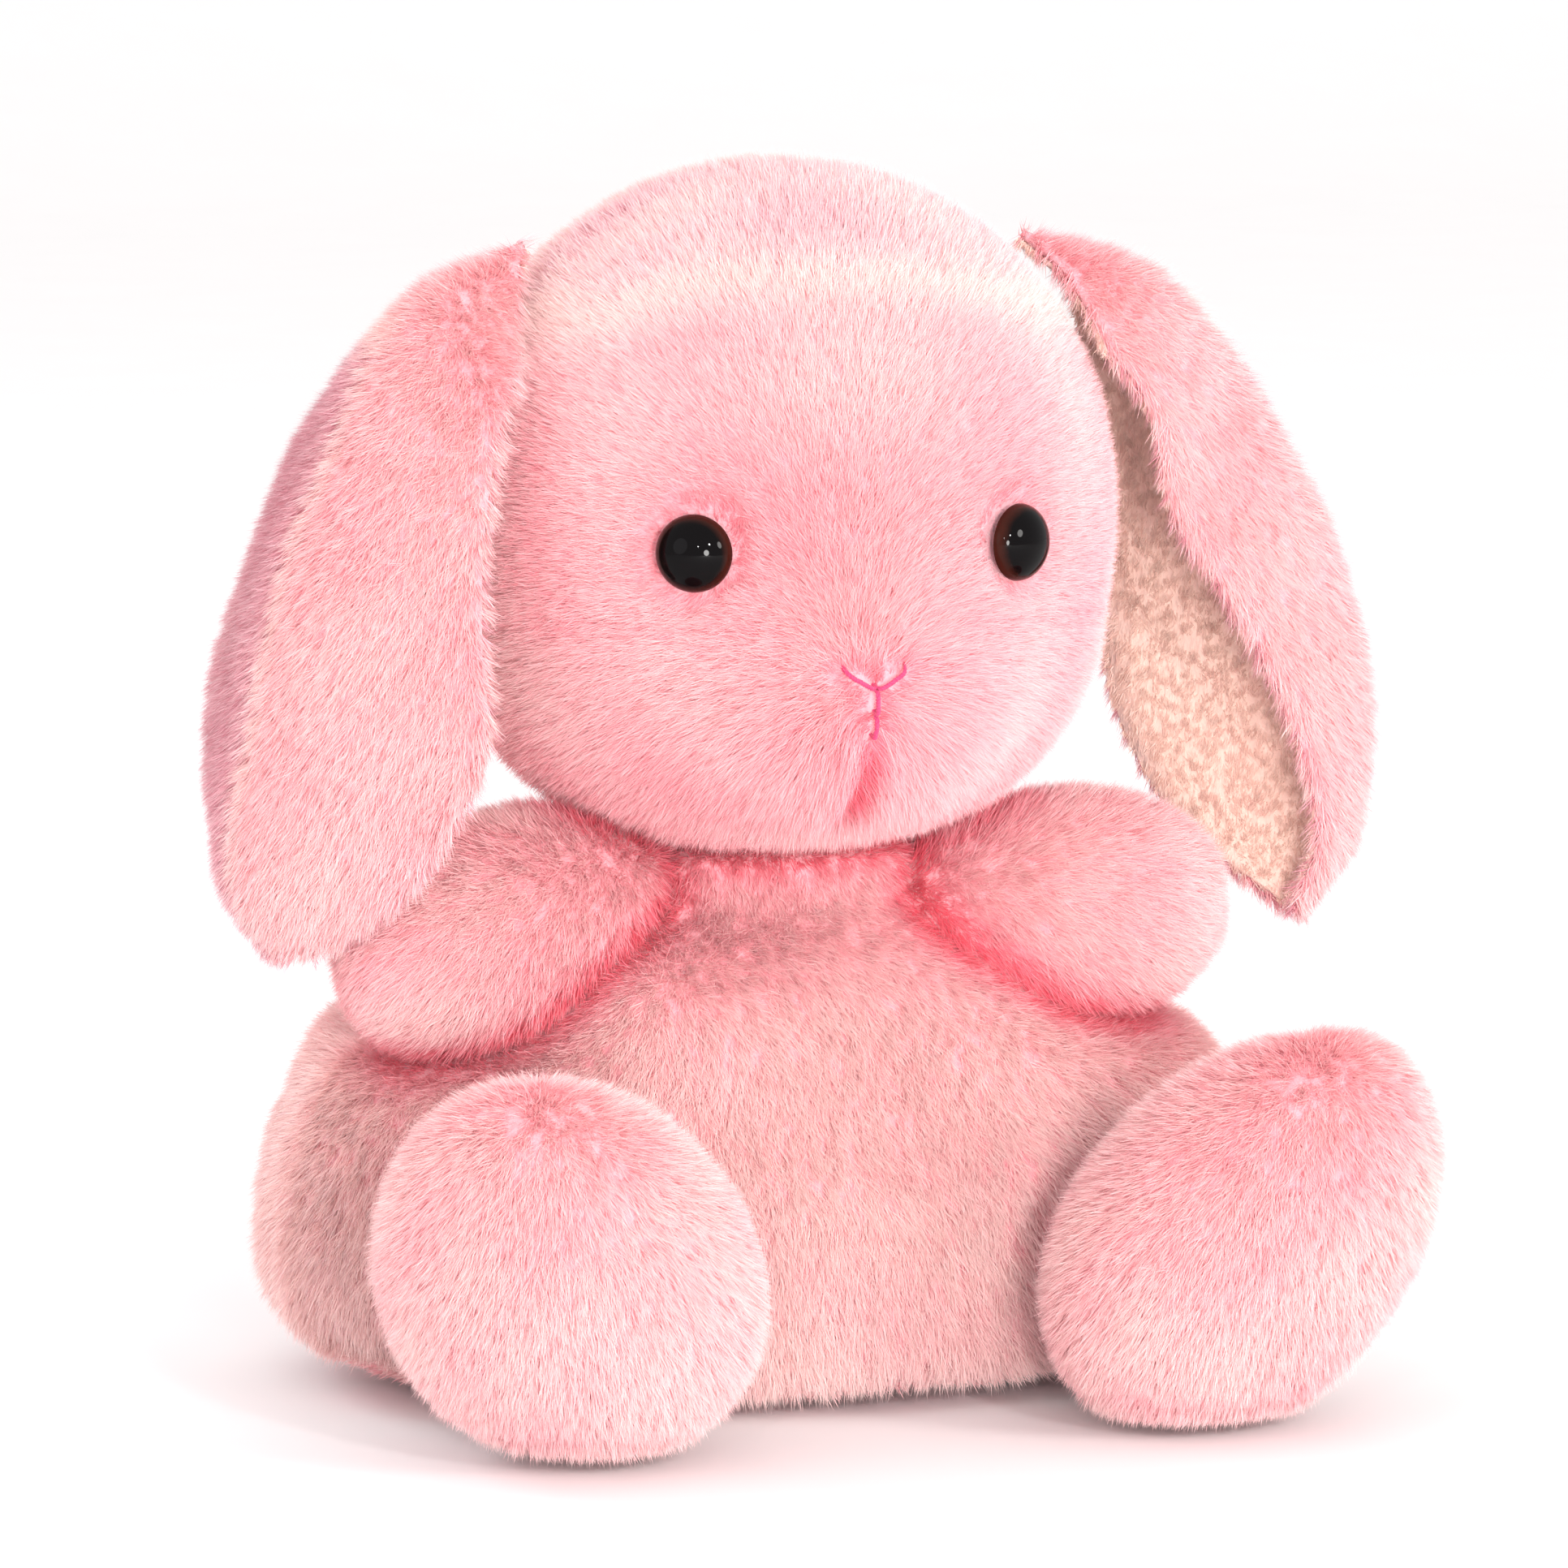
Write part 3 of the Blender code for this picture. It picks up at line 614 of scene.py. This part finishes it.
def grow(name, tufts, combed, seed, dyed=pile_dye, width=STRAND_WIDTH, gather=0.35):
    """One piece of pile. combed holds, for each tuft, the way it is combed, its length, its
    lean from upright in radians and its tone on the dye's palette."""
    points, normals, _ = tufts
    flow, length, lean, shade = combed
    chance = np.random.default_rng(seed)
    count = len(points)
    along_flow = unit_rows(flow - normals * (flow * normals).sum(1, keepdims=True))
    beside = np.cross(normals, along_flow)
    swing = chance.normal(0, 0.2, count)[:, None]
    lie = along_flow * np.cos(swing) + beside * np.sin(swing)
    tilt = np.clip(lean + chance.normal(0, 0.09, count), 0, 1.35)[:, None]
    way = normals * np.cos(tilt) + lie * np.sin(tilt)

    def each(rows):
        return np.repeat(rows, STRANDS, axis=0)

    total = count * STRANDS
    size = each(length) * chance.uniform(0.7, 1.1, total)
    round_way = chance.uniform(0, 2 * pi, total)
    out = TUFT_RADIUS * np.sqrt(chance.random(total))
    shift = each(along_flow) * (np.cos(round_way) * out)[:, None]
    shift += each(beside) * (np.sin(round_way) * out)[:, None]
    root = each(points) + shift - each(normals) * 0.15 * MM
    strand_way = unit_rows(each(way) + chance.normal(0, 0.17, (total, 3)))
    tip = root + strand_way * size[:, None] - shift * gather
    twist = chance.normal(0, 0.75, total)[:, None]
    flat = unit_rows(np.cross(strand_way, each(normals)) + 1e-9)
    wide = flat * np.cos(twist) + np.cross(strand_way, flat) * np.sin(twist)
    half = wide * (width / 2 * chance.uniform(0.75, 1.25, total))[:, None]
    corners = np.stack([root - half, root + half, tip], axis=1).reshape(-1, 3)
    corners[:, 2] = np.maximum(corners[:, 2], 0.15 * MM)
    mesh = bpy.data.meshes.new(name)
    mesh.vertices.add(total * 3)
    mesh.vertices.foreach_set("co", corners.ravel().astype(np.float32))
    mesh.loops.add(total * 3)
    mesh.loops.foreach_set("vertex_index", np.arange(total * 3, dtype=np.int32))
    mesh.polygons.add(total)
    mesh.polygons.foreach_set("loop_start", np.arange(0, total * 3, 3, dtype=np.int32))
    mesh.update(calc_edges=True)
    tones = np.clip(each(shade) + chance.normal(0, 0.07, total), 0.02, 0.98)[:, None]
    across = tones + np.array([-0.008, 0.008, 0])
    up = np.broadcast_to([0.02, 0.02, 0.98], across.shape)
    layer = mesh.uv_layers.new(name="OFBake")
    layer.data.foreach_set("uv", np.stack([across, up], axis=2).ravel().astype(np.float32))
    mesh.polygons.foreach_set("use_smooth", np.ones(total, bool))
    mesh.materials.append(dyed.material)
    piece = bpy.data.objects.new(name, mesh)
    bpy.context.scene.collection.objects.link(piece)
    return piece


def select(tufts, combed, mask):
    return tuple(part[mask] for part in tufts), tuple(part[mask] for part in combed)


def finish_pile(piece, body):
    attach(piece, body)


DOWN = np.array([0, 0, -1.0])

# The head's pile starts at the nose and is combed away from it, up over the forehead and
# down the cheeks. It is longest on the muzzle, and parts round the eyes and the stitching.

NOSE = np.array([0, -36.5, 74.5]) * MM


def comb_head(points, normals, crease):
    x, y, z = points.T
    away = points - NOSE
    reach = np.linalg.norm(away, axis=1)
    behind = smooth_step(-8 * MM, 18 * MM, y)
    crown = smooth_step(111 * MM, 120 * MM, z + 6 * np.abs(x) ** 2 / (1000 * MM)) * (1 - behind)
    flow = unit_rows(away) * (1 - behind)[:, None] + DOWN * (0.35 + behind)[:, None]
    flow += crown[:, None] * np.array([0, 0.4, 0])
    muzzle = near_share(reach, 17 * MM)
    length = 2.35 * MM + 1.3 * MM * muzzle
    length += 0.6 * MM * smooth_step(84 * MM, 70 * MM, z)
    lean = 0.85 + 0.1 * muzzle + 0 * x
    shade = 0.35 + 0.08 * smooth_step(95 * MM, 110 * MM, z) - 0.04 * smooth_step(84 * MM, 60 * MM, z)
    # Painted light: the crown is painted a cool mauve for the cooler, dimmer light that falls on the top of
    # the head, and the pile is painted deeper pink for the shade in the crease against the torso.
    shade += 0.37 * crown + 0.07 * patchy(points, 17 * MM, 4) - 0.3 * smooth_step(0.3, 0.9, crease)
    mouth_band = smooth_step(72 * MM, 69 * MM, z) * smooth_step(61 * MM, 65 * MM, z) * (y < -20 * MM)
    mouth_side = near_share(x, 2.2 * MM) * mouth_band
    flow[:, 0] += np.sign(x) * mouth_side * 1.6
    # Painted shade: a deeper pink line down the middle, for the shade in the mouth crease that the backing is
    # drawn into.
    shade -= 0.3 * near_share(x, 0.9 * MM) * mouth_band
    seam = near_share(z - 81.8 * MM, 0.8 * MM) * smooth_step(6 * MM, 12 * MM, np.abs(x)) * (y < -8 * MM)
    length *= 1 - 0.1 * seam
    shade -= 0.05 * seam
    kept = np.ones(len(points), bool)
    for sign in (1, -1):
        seat, look = eye_line(sign)
        spoke = points - np.array(seat)
        ahead = spoke @ np.array(look)
        spoke = spoke - ahead[:, None] * np.array(look)
        ring = np.linalg.norm(spoke, axis=1)
        front = ahead > -12 * MM
        kept &= ~((ring < EYE_RADIUS * 0.97) & front)
        close = np.clip(1 - (ring - EYE_RADIUS) / (3.2 * MM), 0, 1) * front
        flow = unit_rows(flow) + unit_rows(spoke) * (2.2 * close)[:, None]
        length *= 1 - 0.5 * close
        lean += 0.15 * close
        shade -= 0.12 * close
    for start, end in NOSE_CLEAR:
        run = end - start
        share = np.clip((points - start) @ run / (run @ run), 0, 1)
        gap = points - (start + share[:, None] * run)
        gap -= normals * (gap * normals).sum(1, keepdims=True)
        distance = np.linalg.norm(gap, axis=1)
        kept &= distance > 0.3 * MM
        close = np.clip(1 - distance / (1.8 * MM), 0, 1)
        flow = unit_rows(flow) + unit_rows(gap) * (1.3 * close)[:, None]
        length *= 1 - 0.35 * close
        shade -= 0.12 * close
    return kept, (flow, length, lean, shade)


def on_face(across, height):
    """The place in the face's pile in a direction from the head's centre."""
    way = Vector((across, -1, height)).normalized()
    spot, facing, _, _ = trees["head"].ray_cast(HEAD, way)
    return spot + facing * THREAD_HEIGHT


THREAD_HEIGHT = 1.25 * MM
NOSE_LINE = ((-0.1, -0.445), (-0.05, -0.465), (0, -0.505), (0.05, -0.465), (0.1, -0.445))
MOUTH_LINE = ((0, -0.505), (0, -0.58), (0, -0.62), (0, -0.665))
NOSE_CLEAR = [
    (np.array(on_face(*start)), np.array(on_face(*end)))
    for line in (NOSE_LINE, MOUTH_LINE)
    for start, end in zip(line, line[1:])
]

EAR_SEAM_Y = -8.5 * MM
MUZZLE_SEAM_Z = 81.6 * MM

front_tufts = scatter("head", 44, 11, ("torso",))
x, y, z = front_tufts[0].T
front_tufts = tuple(part[y < EAR_SEAM_Y] for part in front_tufts)
kept, combed = comb_head(*front_tufts)
front_tufts, combed = select(front_tufts, combed, kept)
x, y, z = front_tufts[0].T
for name, mask in (
    ("forehead_pile", z > MUZZLE_SEAM_Z),
    ("cheek_pile_left", (z <= MUZZLE_SEAM_Z) & (x > 0)),
    ("cheek_pile_right", (z <= MUZZLE_SEAM_Z) & (x <= 0)),
):
    finish_pile(grow(name, *select(front_tufts, combed, mask), 12, width=0.1 * MM), "head")

back_tufts = scatter("head", 22, 13, ("torso",))
back_tufts = tuple(part[back_tufts[0][:, 1] >= EAR_SEAM_Y] for part in back_tufts)
kept, combed = comb_head(*back_tufts)
back_tufts, combed = select(back_tufts, combed, kept)
for name, mask in (
    ("head_back_pile_left", back_tufts[0][:, 0] > 0),
    ("head_back_pile_right", back_tufts[0][:, 0] <= 0),
):
    finish_pile(grow(name, *select(back_tufts, combed, mask), 14, width=0.14 * MM), "head")

# The torso's pile is combed down from the neck and out along the thighs to the feet.


def comb_torso(points, normals, crease):
    x, y, z = points.T
    flow = np.tile(DOWN, (len(points), 1))
    thigh = smooth_step(12 * MM, 30 * MM, np.abs(x)) * (y < 0) * smooth_step(46 * MM, 30 * MM, z)
    flow[:, 0] += np.sign(x) * thigh * 0.9
    flow[:, 1] -= thigh * 0.9 + 0.45 * (y < 0) * smooth_step(16 * MM, 30 * MM, z)
    flow[:, 1] += 0.45 * (y >= 0) * smooth_step(16 * MM, 30 * MM, z)
    flow += 0.22 * np.stack([patchy(points, 26 * MM, 5), patchy(points, 26 * MM, 6), 0 * x], axis=1)
    low = smooth_step(3 * MM, 0.8 * MM, z)
    length = (3.2 * MM + 0.3 * MM * patchy(points, 20 * MM, 7)) * (1 - 0.55 * low) * (1 - 0.3 * crease)
    lean = 0.95 + 0.2 * low + 0.06 * patchy(points, 14 * MM, 8)
    # Painted shade: deeper pink in the creases against the limbs and head and under the chin; the sides, back
    # from the front, are painted a paler, cooler tone for the cool light that falls on them.
    shade = 0.56 + 0.05 * patchy(points, 22 * MM, 9) - 0.45 * smooth_step(0.22, 0.8, crease)
    shade -= 0.1 * smooth_step(38 * MM, 50 * MM, z)
    shade += 0.13 * smooth_step(0.55, 0.9, np.abs(normals[:, 0])) * smooth_step(-20 * MM, -8 * MM, y)
    return flow, length, lean, shade


limbs = ("arm_left", "arm_right", "foot_left", "foot_right", "head", "tail")
SEAT_FACING = -0.8  # the seat is where the cover faces down by more than this
for zone, density, seed in (("front", 32, 21), ("back", 20, 23)):
    tufts = scatter("torso", density, seed, limbs)
    points = tufts[0]
    half = (points[:, 1] < 1 * MM) if zone == "front" else (points[:, 1] >= 1 * MM)
    above = tufts[1][:, 2] > SEAT_FACING
    tufts = tuple(part[half & above] for part in tufts)
    combed = comb_torso(*tufts)
    x, _, z = tufts[0].T
    belly_half = (25 - (25 - 11.5) * z / (60 * MM)) * MM
    if zone == "front":
        shares = (
            ("belly_pile", np.abs(x) <= belly_half),
            ("haunch_pile_left", x > belly_half),
            ("haunch_pile_right", x < -belly_half),
        )
    else:
        shares = (("back_pile_left", x > 0), ("back_pile_right", x <= 0))
    for name, mask in shares:
        wide = STRAND_WIDTH if zone == "front" else 0.14 * MM
        finish_pile(grow(name, *select(tufts, combed, mask), seed + 1, width=wide), "torso")

seat_tufts = scatter("torso", 8, 25, ())
seat_tufts = tuple(part[seat_tufts[1][:, 2] <= SEAT_FACING] for part in seat_tufts)
seat_points = seat_tufts[0]
seat_combed = (
    seat_points * np.array([1, 1, 0]),
    np.full(len(seat_points), 2.2 * MM),
    np.full(len(seat_points), 1.2),
    0.5 + 0.1 * patchy(seat_points, 20 * MM, 3),
)
finish_pile(grow("seat_pile", seat_tufts, seat_combed, 26, width=0.25 * MM), "torso")

# The feet are eggs of pile, combed from a whorl at the top seam down to the sole.

for side, sign in (("left", 1), ("right", -1)):
    ahead, toe_way, heel = (np.array(part) for part in foot_ahead[side])
    tufts = scatter(f"foot_{side}", 29, 31 + sign, ("torso",))
    points, normals, crease = tufts
    x, y, z = points.T
    whorl = heel + toe_way * 20 * MM - ahead * 6 * MM
    flow = unit_rows(points - whorl) + DOWN * 0.5
    low = smooth_step(4.5 * MM, 1.0 * MM, z)
    length = (2.8 * MM + 0.2 * MM * patchy(points, 14 * MM, 33)) * (1 - 0.5 * low)
    lean = 0.8 + 0.3 * low + 0.07 * patchy(points, 9 * MM, 34)
    lean += 0.35 * near_share(np.linalg.norm(points - whorl, axis=1), 5 * MM)
    seam = near_share(z - 5.5 * MM, 0.7 * MM)
    # Painted shade: deeper pink in the crease against the torso.
    shade = 0.46 + 0.07 * patchy(points, 15 * MM, 35) - 0.4 * smooth_step(0.3, 0.9, crease) - 0.08 * seam
    kept = z > 0.9 * MM
    combed = (flow, length * (1 - 0.3 * seam), lean, shade)
    tufts, combed = select(tufts, combed, kept)
    finish_pile(grow(f"foot_pile_{side}", tufts, combed, 36 + sign), f"foot_{side}")

# The arms are short sausages of pile, combed from the shoulder to the paw.

for side, sign in (("left", 1), ("right", -1)):
    centre, way = (np.array(part) for part in arm_ways[side])
    tufts = scatter(f"arm_{side}", 31, 41 + sign, ("torso", "head"))
    points, normals, crease = tufts
    flow = np.tile(way, (len(points), 1)) + DOWN * 0.45
    length = 2.9 * MM + 0.25 * MM * patchy(points, 12 * MM, 43)
    lean = 0.85 + 0.08 * patchy(points, 9 * MM, 44)
    # Painted shade: deeper pink in the creases against the torso and head.
    shade = 0.43 + 0.07 * patchy(points, 13 * MM, 45) - 0.45 * smooth_step(0.22, 0.8, crease)
    finish_pile(grow(f"arm_pile_{side}", tufts, (flow, length, lean, shade), 46 + sign), f"arm_{side}")

# The tail is a small round puff of the same pile, sewn low on the back.

tail_tufts = scatter("tail", 26, 51, ("torso",))
tail_points, tail_normals, tail_crease = tail_tufts
tail_combed = (
    tail_normals * 0.2 + DOWN * 0.6,
    2.8 * MM + 0.3 * MM * patchy(tail_points, 8 * MM, 52),
    0.5 + 0 * tail_crease,
    # Painted shade: deeper pink in the crease against the torso.
    0.6 + 0.1 * patchy(tail_points, 8 * MM, 53) - 0.3 * tail_crease,
)
finish_pile(grow("tail_pile", tail_tufts, tail_combed, 54), "torso")

# Each ear is a leaf of pile fabric sewn back to back with a leaf of short peach plush, folded
# in the seam over the crown and hanging. The long pile stands past the ear's edge all round.

for side, sign in (("left", 1), ("right", -1)):
    hang = np.array([0.37 * sign, 0, -0.93])
    tufts = scatter(f"ear_{side}", 29, 61 + sign, (f"lining_{side}",), clearance=0.1 * MM)
    points, normals, crease = tufts
    flow = np.tile(hang, (len(points), 1))
    length = 2.8 * MM + 0.25 * MM * patchy(points, 15 * MM, 63)
    lean = 0.84 + 0.08 * patchy(points, 10 * MM, 64)
    # Painted shade: past the outer fold, where the ear faces back, its pile is painted mauve for the shade on
    # that side.
    painted_shade_beyond_fold = smooth_step(-0.42, -0.08, normals[:, 1]) * smooth_step(116 * MM, 106 * MM, points[:, 2])
    shade = 0.44 + 0.06 * patchy(points, 18 * MM, 65) + 0.52 * painted_shade_beyond_fold
    combed = (flow, length, lean, shade)
    finish_pile(grow(f"ear_pile_{side}", tufts, combed, 66 + sign), f"ear_{side}")

    tufts = scatter(f"lining_{side}", 26, 71 + sign, (f"ear_{side}",), clearance=0.1 * MM)
    points, normals, crease = tufts
    swirl = np.stack([patchy(points, 6 * MM, 73), patchy(points, 6 * MM, 74), 0 * crease], axis=1)
    flow = np.tile(hang, (len(points), 1)) + 0.25 * swirl
    length = 1.15 * MM + 0.15 * MM * patchy(points, 5 * MM, 75)
    lean = 0.8 + 0.05 * patchy(points, 3.5 * MM, 76)
    shade = 0.6 + 0.1 * patchy(points, 6 * MM, 77)
    combed = (flow, length, lean, shade)
    short = grow(f"ear_lining_pile_{side}", tufts, combed, 78 + sign, lining_dye, 0.12 * MM, 0.6)
    finish_pile(short, f"ear_{side}")


# ---------------------------------------------------------------- eyes
# Each eye is a glossy black plastic dome with a dark brown rim and a ribbed shank, pushed
# through the fabric and held by a washer that is pressed onto the shank inside the head.

EYE_RISE = 2.6 * MM
EYE_STEPS = 48
EYE_PROFILE = [(EYE_RADIUS * sin(radians(a)), EYE_RISE * cos(radians(a))) for a in range(0, 86, 5)]
EYE_PROFILE += [(4.0 * MM, 0.12 * MM), (3.92 * MM, 0), (3.7 * MM, -0.1 * MM), (1.2 * MM, -0.1 * MM)]
for rib in range(4):
    top = -(1.0 + rib * 0.8) * MM
    EYE_PROFILE += [(1.2 * MM, top), (1.42 * MM, top - 0.15 * MM), (1.2 * MM, top - 0.45 * MM)]
EYE_PROFILE += [(1.05 * MM, -4.4 * MM), (0, -4.6 * MM)]

eye_plastic = Finish(
    "eye_plastic", Roughness=0.03, IOR=1.45, Specular_IOR_Level=0.13
)
middle_share = eye_plastic.node("ShaderNodeAttribute", {"attribute_name": "from_middle"}, {}, "Fac")
EYE_BLACK = dye(6, 4, 5)
EYE_BROWN = dye(58, 24, 16)
moulded = eye_plastic.grain(700, 2)
rim = eye_plastic.node(
    "ShaderNodeMapRange",
    {"interpolation_type": "SMOOTHSTEP"},
    {"Value": middle_share + (moulded - 0.5) * 0.06, "From Min": 0.78, "From Max": 0.98, "To Max": 0.85},
)
eye_plastic.feed("Base Color", eye_plastic.blend(rim, EYE_BLACK, EYE_BROWN))

washer_plastic = Finish("washer_plastic", Roughness=0.42)
washer_mark = washer_plastic.grain(500, 3)
washer_plastic.feed("Base Color", washer_plastic.blend(washer_mark, dye(225, 226, 224), dye(240, 241, 239)))
washer_plastic.bumps(washer_mark, 0.05 * MM)

for side, sign in (("left", 1), ("right", -1)):
    seat, look = eye_line(sign)
    bm = bmesh.new()
    outline = [bm.verts.new((radius, 0, height)) for radius, height in EYE_PROFILE]
    edges = [bm.edges.new(pair) for pair in zip(outline, outline[1:])]
    bmesh.ops.spin(
        bm,
        geom=outline + edges,
        cent=(0, 0, 0),
        axis=(0, 0, 1),
        angle=2 * pi,
        steps=EYE_STEPS,
        use_merge=True,
    )
    bmesh.ops.remove_doubles(bm, verts=bm.verts, dist=0.00001)
    bmesh.ops.recalc_face_normals(bm, faces=bm.faces)
    from_middle = [min(Vector((v.co.x, v.co.y)).length / EYE_RADIUS, 1) for v in bm.verts]
    turn = look.to_track_quat("Z", "Y").to_matrix().to_4x4()
    bmesh.ops.transform(bm, matrix=Matrix.Translation(seat) @ turn, verts=bm.verts)
    for face in bm.faces:
        face.smooth = True
    mesh = bpy.data.meshes.new(f"safety_eye_{side}")
    bm.to_mesh(mesh)
    bm.free()
    mesh.attributes.new("from_middle", "FLOAT", "POINT").data.foreach_set("value", from_middle)
    mesh.set_sharp_from_angle(angle=radians(40))
    mesh.materials.append(eye_plastic.material)
    eye = bpy.data.objects.new(f"safety_eye_{side}", mesh)
    bpy.context.scene.collection.objects.link(eye)
    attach(eye, "head")
    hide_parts(f"eye_{side}")
    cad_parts[f"eye_washer_{side}"].material_slots[0].material = washer_plastic.material


# ---------------------------------------------------------------- nose and mouth
# The nose is a V and the mouth a short line of three-ply embroidery thread, worked through
# the muzzle in straight stitches that lie in the parted pile.

PLY_RADIUS = 0.13 * MM
PLY_OUT = 0.15 * MM
THREAD_TWIST = 0.9 * MM  # length of one turn of the plies
STITCHES = {
    "nose_thread": (
        ((-0.105, -0.444), (0.004, -0.505)),
        ((0.105, -0.444), (-0.004, -0.505)),
    ),
    "mouth_thread": (((0, -0.5), (0.002, -0.585)), ((0.002, -0.58), (0, -0.668))),
}

thread_dye = Finish("thread", Roughness=0.55, Sheen_Weight=0.3)
lustre = thread_dye.grain(2600, 3)
thread_dye.feed("Base Color", thread_dye.blend(lustre, dye(176, 30, 88), dye(214, 66, 118)))
thread_dye.bumps(lustre, 0.08 * MM)

for name, stitches in STITCHES.items():
    curve = bpy.data.curves.new(name, "CURVE")
    curve.dimensions = "3D"
    curve.bevel_depth = PLY_RADIUS
    curve.bevel_resolution = 2
    curve.use_fill_caps = True
    for (start_across, start_height), (end_across, end_height) in stitches:
        knots = 26
        path = []
        for i in range(knots + 1):
            share = i / knots
            across = start_across + (end_across - start_across) * share
            height = start_height + (end_height - start_height) * share
            spot = on_face(across, height)
            normal = (spot - HEAD).normalized()
            sunk = 1.5 * MM * (2 * share - 1) ** 6
            path.append((spot - normal * sunk, normal))
        run = (path[-1][0] - path[0][0]).normalized()
        whole = (path[-1][0] - path[0][0]).length
        for ply in range(3):
            spline = curve.splines.new("POLY")
            spline.points.add(knots)
            for i, (spot, normal) in enumerate(path):
                angle = 2 * pi * (ply / 3 + whole * i / knots / THREAD_TWIST)
                side_way = run.cross(normal).normalized()
                offset = (normal * cos(angle) + side_way * sin(angle)) * PLY_OUT
                spline.points[i].co = (*(spot + offset), 1)
    thread = bpy.data.objects.new(name, curve)
    bpy.context.scene.collection.objects.link(thread)
    curve.materials.append(thread_dye.material)
    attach(thread, "head")
    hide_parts(name.replace("thread", "stitching"))


# ---------------------------------------------------------------- table, light and camera
# The toy sits on a plain pale sweep under large soft lights: a warm one from its left, a
# cool one from its right, and one behind it that catches the tips of the pile.

SWEEP_HALF = 1.5
bm = bmesh.new()
bmesh.ops.create_grid(bm, x_segments=1, y_segments=1, size=SWEEP_HALF)
back_edge = [edge for edge in bm.edges if all(vertex.co.y > SWEEP_HALF / 2 for vertex in edge.verts)]
bmesh.ops.spin(
    bm,
    geom=back_edge + list({vertex for edge in back_edge for vertex in edge.verts}),
    cent=(0, SWEEP_HALF, 0.6),
    axis=(1, 0, 0),
    angle=pi / 2,
    steps=16,
)
for face in bm.faces:
    face.smooth = True
sweep_mesh = bpy.data.meshes.new("sweep")
bm.to_mesh(sweep_mesh)
bm.free()
paper = Finish("sweep_paper", Roughness=0.9)
paper_grain = paper.grain(40, 3)
paper.feed("Base Color", paper.blend(paper_grain, dye(250, 249, 249), dye(253, 252, 252)))
sweep_mesh.materials.append(paper.material)
sweep = bpy.data.objects.new("sweep", sweep_mesh)
bpy.context.scene.collection.objects.link(sweep)

world = bpy.data.worlds.new("studio")
world.use_nodes = True
world.node_tree.nodes["Background"].inputs["Color"].default_value = (1.0, 0.985, 0.985, 1)
world.node_tree.nodes["Background"].inputs["Strength"].default_value = 1.0
bpy.context.scene.world = world

AIM = Vector((1.8, -0.6, 62)) * MM
LIGHTS = (
    ("key", (0.5, -0.75, 0.36), 0.24, 2.8, (1.0, 0.97, 0.94)),
    ("front", (-0.12, -1.0, 0.1), 0.2, 5.0, (1.0, 0.98, 0.96)),
    ("fill", (-0.8, -0.45, 0.28), 0.5, 0.6, (0.97, 0.95, 1.0)),
    ("rim", (-0.5, 0.55, 0.5), 0.4, 1.6, (0.96, 0.95, 1.0)),
    ("spark", (0.02, -0.78, 0.34), 0.06, 1.4, (1.0, 1.0, 1.0)),
    ("glint", (-0.32, -0.72, 0.26), 0.03, 0.4, (1.0, 1.0, 1.0)),
)
for name, place, size, power, colour in LIGHTS:
    lamp = bpy.data.lights.new(name, "AREA")
    lamp.shape = "DISK"
    lamp.size = size
    lamp.energy = power
    lamp.color = colour
    holder = bpy.data.objects.new(name, lamp)
    holder.location = place
    holder.rotation_euler = (AIM - Vector(place)).to_track_quat("-Z", "Y").to_euler()
    bpy.context.scene.collection.objects.link(holder)

CAMERA_AZIMUTH = radians(-18)
CAMERA_ELEVATION = radians(7.5)
CAMERA_DISTANCE = 1.1
FRAME_WIDTH = 0.1642
lens = bpy.data.cameras.new("camera")
lens.sensor_width = 36
lens.lens = lens.sensor_width * CAMERA_DISTANCE / FRAME_WIDTH
camera = bpy.data.objects.new("camera", lens)
back = Vector(
    (
        sin(CAMERA_AZIMUTH) * cos(CAMERA_ELEVATION),
        -cos(CAMERA_AZIMUTH) * cos(CAMERA_ELEVATION),
        sin(CAMERA_ELEVATION),
    )
)
camera.location = AIM + back * CAMERA_DISTANCE
camera.rotation_euler = back.to_track_quat("Z", "Y").to_euler()
bpy.context.scene.collection.objects.link(camera)
bpy.context.scene.camera = camera
bpy.context.scene.view_settings.view_transform = "Standard"
